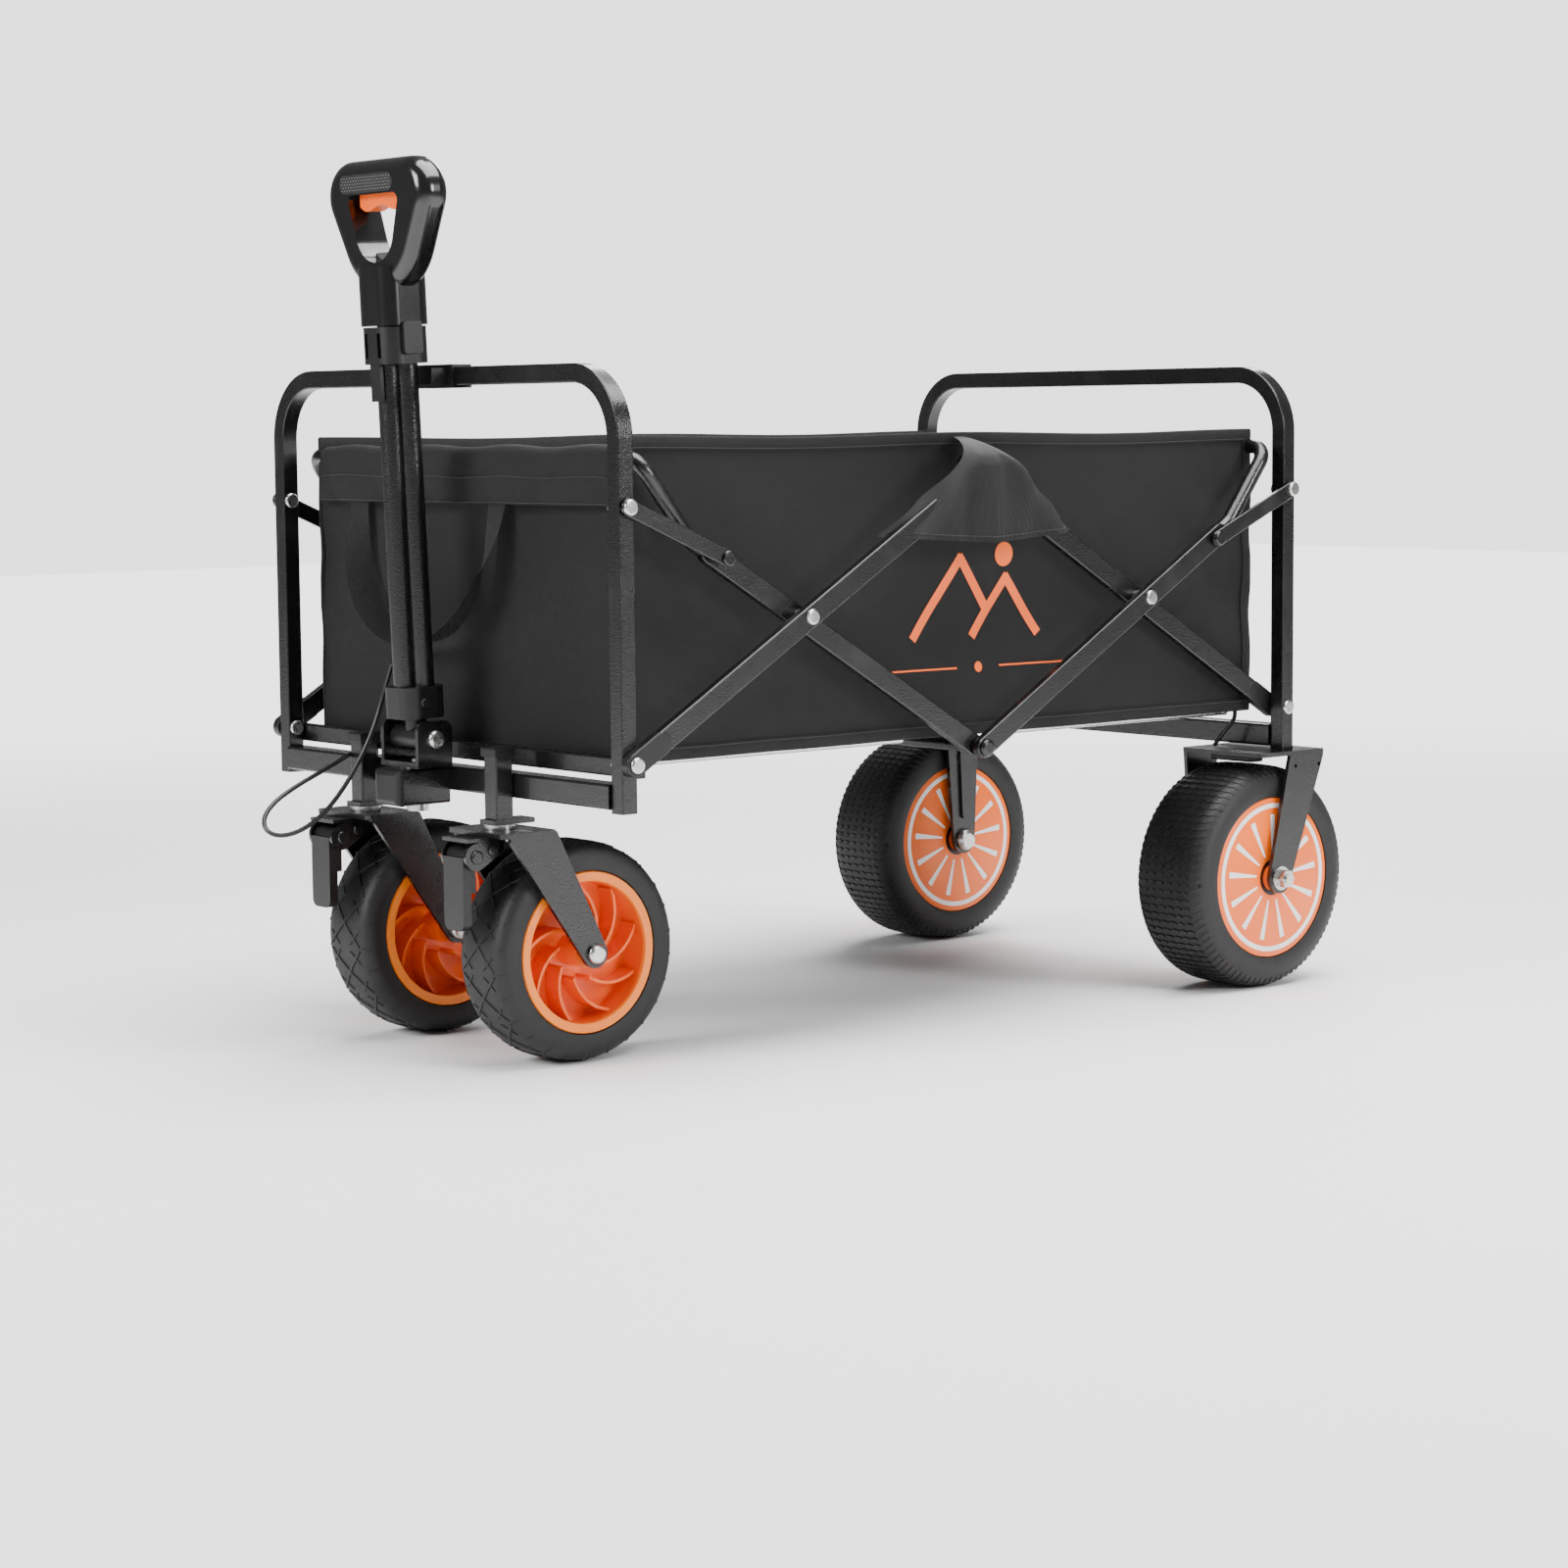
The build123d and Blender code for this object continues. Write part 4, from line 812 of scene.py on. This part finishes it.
def bar_mesh(shape, crown, start, end, width, height, parts):
    """Adds a raised bar that hugs the crown, between two (angle, y) points; angle 0 is the wheel's top."""
    a0, y0 = start
    a1, y1 = end
    radius = crown_radius(crown, 0)
    along = Vector((radius * (a1 - a0), y1 - y0)).normalized() * width / 2
    beside = Vector((-along.y, along.x))
    rings = []
    for i in range(parts + 1):
        share = i / parts
        taper = 0.45 if i in (0, parts) else 1.0
        ring = []
        for side, lift in ((-1, -0.0012), (-0.7, height), (0.7, height), (1, -0.0012)):
            angle = a0 + (a1 - a0) * share + beside.x * side * taper / radius
            y = y0 + (y1 - y0) * share + beside.y * side * taper
            r = crown_radius(crown, y) + lift
            ring.append(shape.verts.new((r * math.sin(angle), y, r * math.cos(angle))))
        rings.append(ring)
    for a, b in zip(rings, rings[1:]):
        for j in range(4):
            shape.faces.new((a[j], a[(j + 1) % 4], b[(j + 1) % 4], b[j]))
    shape.faces.new(rings[0][::-1])
    shape.faces.new(rings[-1])


def tread(name, bars, crown, count, centre, material, body):
    """One pitch of bars, each (start, end, width, height, parts), repeated round a wheel."""
    shape = bmesh.new()
    for bar in bars:
        bar_mesh(shape, crown, *bar)
    bmesh.ops.recalc_face_normals(shape, faces=shape.faces)
    mesh = bpy.data.meshes.new(name)
    shape.to_mesh(mesh)
    shape.free()
    piece = bpy.data.objects.new(name, mesh)
    bpy.context.collection.objects.link(piece)
    grow(piece, tread_tree, Count=count, Centre=centre, Rubber=material)
    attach(piece, body)
    return piece


front_pitches, front_bead = 13, 0.0672
step = 2 * pi / front_pitches
front_bars = [
    ((-0.46 * step, -0.021), (0.46 * step, 0.021), 0.0034, 0.0010, 8),
    ((-0.46 * step, 0.021), (0.46 * step, -0.021), 0.0034, 0.0010, 8),
    ((0.18 * step, -0.0195), (0.44 * step, -0.0075), 0.0022, 0.0008, 4),
    ((0.18 * step, 0.0195), (0.44 * step, 0.0075), 0.0022, 0.0008, 4),
    ((-0.18 * step, -0.0195), (-0.44 * step, -0.0075), 0.0022, 0.0008, 4),
    ((-0.18 * step, 0.0195), (-0.44 * step, 0.0075), 0.0022, 0.0008, 4),
]
for sign in (-1, 1):
    front_bars += [((0.0, sign * 0.0235), (0.03 * step, sign * 0.0306), 0.0024, 0.0008, 5),
                   ((0.5 * step, sign * 0.0235), (0.47 * step, sign * 0.0306), 0.0024, 0.0008, 5)]
for side_name in sides:
    centre = wheel_centre(f"caster_tyre_{side_name}")
    body = f"front_wheel_{side_name}"
    tyre = turned(f"front_tyre_{side_name}", tyre_outline(front_crown, front_bead), centre, tyre_rubber, body)
    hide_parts(f"caster_tyre_{side_name}")
    tread(f"front_tread_{side_name}", front_bars, front_crown, front_pitches, centre, tyre_rubber, body)

# Front hubs: orange polypropylene, moulded in one with curved fins from the boss to the rim, and a flat
# lighter ring where the rim meets the tyre.
paint(orange_plastic, "caster_hub_near", "caster_hub_far")
rim_face = moulded("rim_orange", (0.94, 0.2, 0.004), (0.97, 0.235, 0.006), 0.3, 0.42, 0.00003)
rim_ring = [(0.0586, 0.0290), (0.0592, 0.0298), (0.0662, 0.0301), (0.0669, 0.0292), (0.0669, 0.0262),
            (0.0586, 0.0262)]
for side_name in sides:
    centre = wheel_centre(f"caster_hub_{side_name}")
    for sign, face in ((-1, "near"), (1, "far")):
        ring = [(radius, sign * y) for radius, y in rim_ring]
        turned(f"front_rim_{side_name}_{face}", ring, centre, rim_face, f"front_wheel_{side_name}")

# Rear tyres: wide blow-moulded rubber with rows of close cross ribs parted by running grooves, slanted ribs
# over the shoulders, and eight round vent holes in each shoulder, drawn as dark matte dots of painted shade.
rear_crown = [(0.0742, 0.0405), (0.0790, 0.0417), (0.0865, 0.0412), (0.0930, 0.0392), (0.0975, 0.0355),
              (0.1002, 0.0305), (0.1013, 0.0240), (0.1017, 0.0120), (0.1018, 0.0000)]
rib_pitches, rear_bead = 84, 0.0738
vent_radius, vent_count, vent_place = 0.006, 8, (0.0336, 0.0912)
rib_step = 2 * pi / rib_pitches
row_edges = (-0.0290, -0.0200, -0.0105, 0.0, 0.0105, 0.0200, 0.0290)
rear_bars = [
    ((0.0, low + 0.0008), (0.0, high - 0.0008), 0.0056, 0.0011, 2)
    for low, high in zip(row_edges, row_edges[1:])
]
for sign in (-1, 1):
    rear_bars.append(((0.0, sign * 0.0300), (0.75 * rib_step, sign * 0.0392), 0.0042, 0.0010, 4))
# Near-black matte material for the vent dots: painted shade where the holes are, not cut holes.
vent_hole_shade, vent_shader = finish("vent_dark", (0.002, 0.002, 0.002), 0.9)
vent_grain = place_group(vent_hole_shade, grain_group)
roughen_between(vent_hole_shade, vent_shader, vent_grain.outputs["Patches"], 0.8, 0.95)
for side_name in sides:
    centre = wheel_centre(f"rear_tyre_{side_name}")
    body = f"rear_wheel_{side_name}"
    tyre = turned(f"rear_tyre_{side_name}_skin", tyre_outline(rear_crown, rear_bead), centre, tyre_rubber, body)
    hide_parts(f"rear_tyre_{side_name}")
    tread(f"rear_tread_{side_name}", rear_bars, rear_crown, rib_pitches, centre, tyre_rubber, body)
    # Dark dots sunk into each shoulder at the vent holes: painted shade standing in for the holes.
    shape = bmesh.new()
    for sign in (-1, 1):
        made = bmesh.ops.create_uvsphere(shape, u_segments=14, v_segments=7, radius=vent_radius)["verts"]
        bmesh.ops.translate(shape, verts=made, vec=(0, sign * vent_place[0], vent_place[1]))
    mesh = bpy.data.meshes.new(f"rear_vents_{side_name}")
    shape.to_mesh(mesh)
    shape.free()
    vent_shade_dots = bpy.data.objects.new(f"rear_vents_{side_name}", mesh)
    bpy.context.collection.objects.link(vent_shade_dots)
    grow(vent_shade_dots, tread_tree, Count=vent_count, Centre=centre, Rubber=vent_hole_shade)
    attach(vent_shade_dots, body)

# Rear hubs: a flat orange disc on each face, printed with a white ring and thirteen white spokes that widen
# outwards, over a black bearing cup.
paint(orange_plastic, "rear_hub_near", "rear_hub_far")
paint(black_plastic, "brake_shoes")
disc_orange = moulded("disc_orange", (0.88, 0.13, 0.0015), (0.94, 0.155, 0.0025), 0.34, 0.46, 0.00002)
print_white = moulded("print_white", (0.8, 0.8, 0.79), (0.86, 0.86, 0.85), 0.35, 0.45, 0.00001)
disc_out, disc_face, print_face, spoke_count = 0.0734, 0.0400, 0.04015, 13
cup_ring = [(0.0122, 0.0385), (0.0122, 0.0396), (0.0164, 0.0396), (0.0164, 0.0385)]
spoke_plan = [(-0.0009, 0.0215), (0.0009, 0.0215), (0.0029, 0.0575), (0.0022, 0.0582), (-0.0022, 0.0582),
              (-0.0029, 0.0575)]
for side_name in sides:
    centre = wheel_centre(f"rear_hub_{side_name}")
    body = f"rear_wheel_{side_name}"
    for sign, face in ((-1, "near"), (1, "far")):
        flat, top, inked = sign * 0.0391, sign * disc_face, sign * print_face
        disc = [(0.0165, flat), (0.0165, top), (disc_out - 0.0008, top), (disc_out, sign * 0.0395),
                (disc_out, flat)]
        turned(f"rear_disc_{side_name}_{face}", disc, centre, disc_orange, body)
        cup = [(radius, sign * y) for radius, y in cup_ring]
        turned(f"rear_cup_{side_name}_{face}", cup, centre, black_plastic, body, 48)
        ring = [(0.0640, top), (0.0640, inked), (0.0684, inked), (0.0684, top)]
        turned(f"rear_ring_{side_name}_{face}", ring, centre, print_white, body)
        spoke = bmesh.new()
        layers = [[spoke.verts.new((x, y, z)) for x, z in spoke_plan] for y in (top, inked)]
        spoke.faces.new(layers[0])
        spoke.faces.new(layers[1][::-1])
        for j in range(len(spoke_plan)):
            spoke.faces.new((layers[0][j], layers[1][j], layers[1][j - 1], layers[0][j - 1]))
        bmesh.ops.recalc_face_normals(spoke, faces=spoke.faces)
        mesh = bpy.data.meshes.new(f"rear_spokes_{side_name}_{face}")
        spoke.to_mesh(mesh)
        spoke.free()
        spokes = bpy.data.objects.new(mesh.name, mesh)
        bpy.context.collection.objects.link(spokes)
        grow(spokes, tread_tree, Count=spoke_count, Centre=centre, Rubber=print_white)
        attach(spokes, body)
# Grip pad: soft black rubber let into the front shell, with staggered rows of small raised dots, coloured
# light grey as a painted highlight where they catch the light.
pad_rubber = moulded("pad_rubber", (0.004, 0.004, 0.0045), (0.008, 0.008, 0.0085), 0.5, 0.62, 0.00006)
# Light grey on the raised dots: painted highlight, not a colour of the black rubber.
dot_rubber = moulded("dot_rubber", (0.16, 0.16, 0.16), (0.24, 0.24, 0.24), 0.3, 0.4, 0.00002)
paint(pad_rubber, "grip_pad")
dot_radius, dot_pitch, dot_row_pitch, dot_margin = 0.00055, 0.0038, 0.002415, 0.0014
pad_low, pad_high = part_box("grip_pad")
pad_half, pad_end = (pad_high.y - pad_low.y) / 2, 0.0075
pad_face = max(nodes["grip_pad"].data.polygons, key=lambda face: -face.normal.x * face.area)
pad_out = pad_face.normal.normalized()
pad_up = Vector((0, 1, 0)).cross(pad_out)
pad_centre = (pad_low + pad_high) / 2
pad_centre += pad_out * ((pad_face.center - pad_centre).dot(pad_out) - 0.3 * dot_radius)
dots = []
for row in range(-2, 3):
    for column in range(-10, 11):
        along = (column + 0.5 * (row % 2)) * dot_pitch
        beside = row * dot_row_pitch
        past_end = max(0.0, abs(along) - (pad_half - pad_end))
        if math.hypot(past_end, beside) < pad_end - dot_margin:
            dots.append(pad_centre + Vector((0, 1, 0)) * along + pad_up * beside)
dot_tree, dot_in, dot_out = geometry_tree("raised_dots", Radius=dot_radius, Rubber=dot_rubber)
dot_shape = add_node(dot_tree, "GeometryNodeMeshUVSphere", [(dot_in.outputs["Radius"], "Radius")])
dot_shape.inputs["Segments"].default_value = 10
dot_shape.inputs["Rings"].default_value = 6
dot_copies = add_node(dot_tree, "GeometryNodeInstanceOnPoints", [
    (dot_in.outputs["Geometry"], "Points"), (dot_shape.outputs[0], "Instance")])
finish_tree(dot_tree, dot_out, dot_copies.outputs[0], dot_in.outputs["Rubber"])
dot_mesh = bpy.data.meshes.new("grip_pad_dots")
dot_mesh.from_pydata(dots, [], [])
pad_dots = bpy.data.objects.new("grip_pad_dots", dot_mesh)
bpy.context.collection.objects.link(pad_dots)
grow(pad_dots, dot_tree, Radius=dot_radius, Rubber=dot_rubber)
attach(pad_dots, "handle_slide")
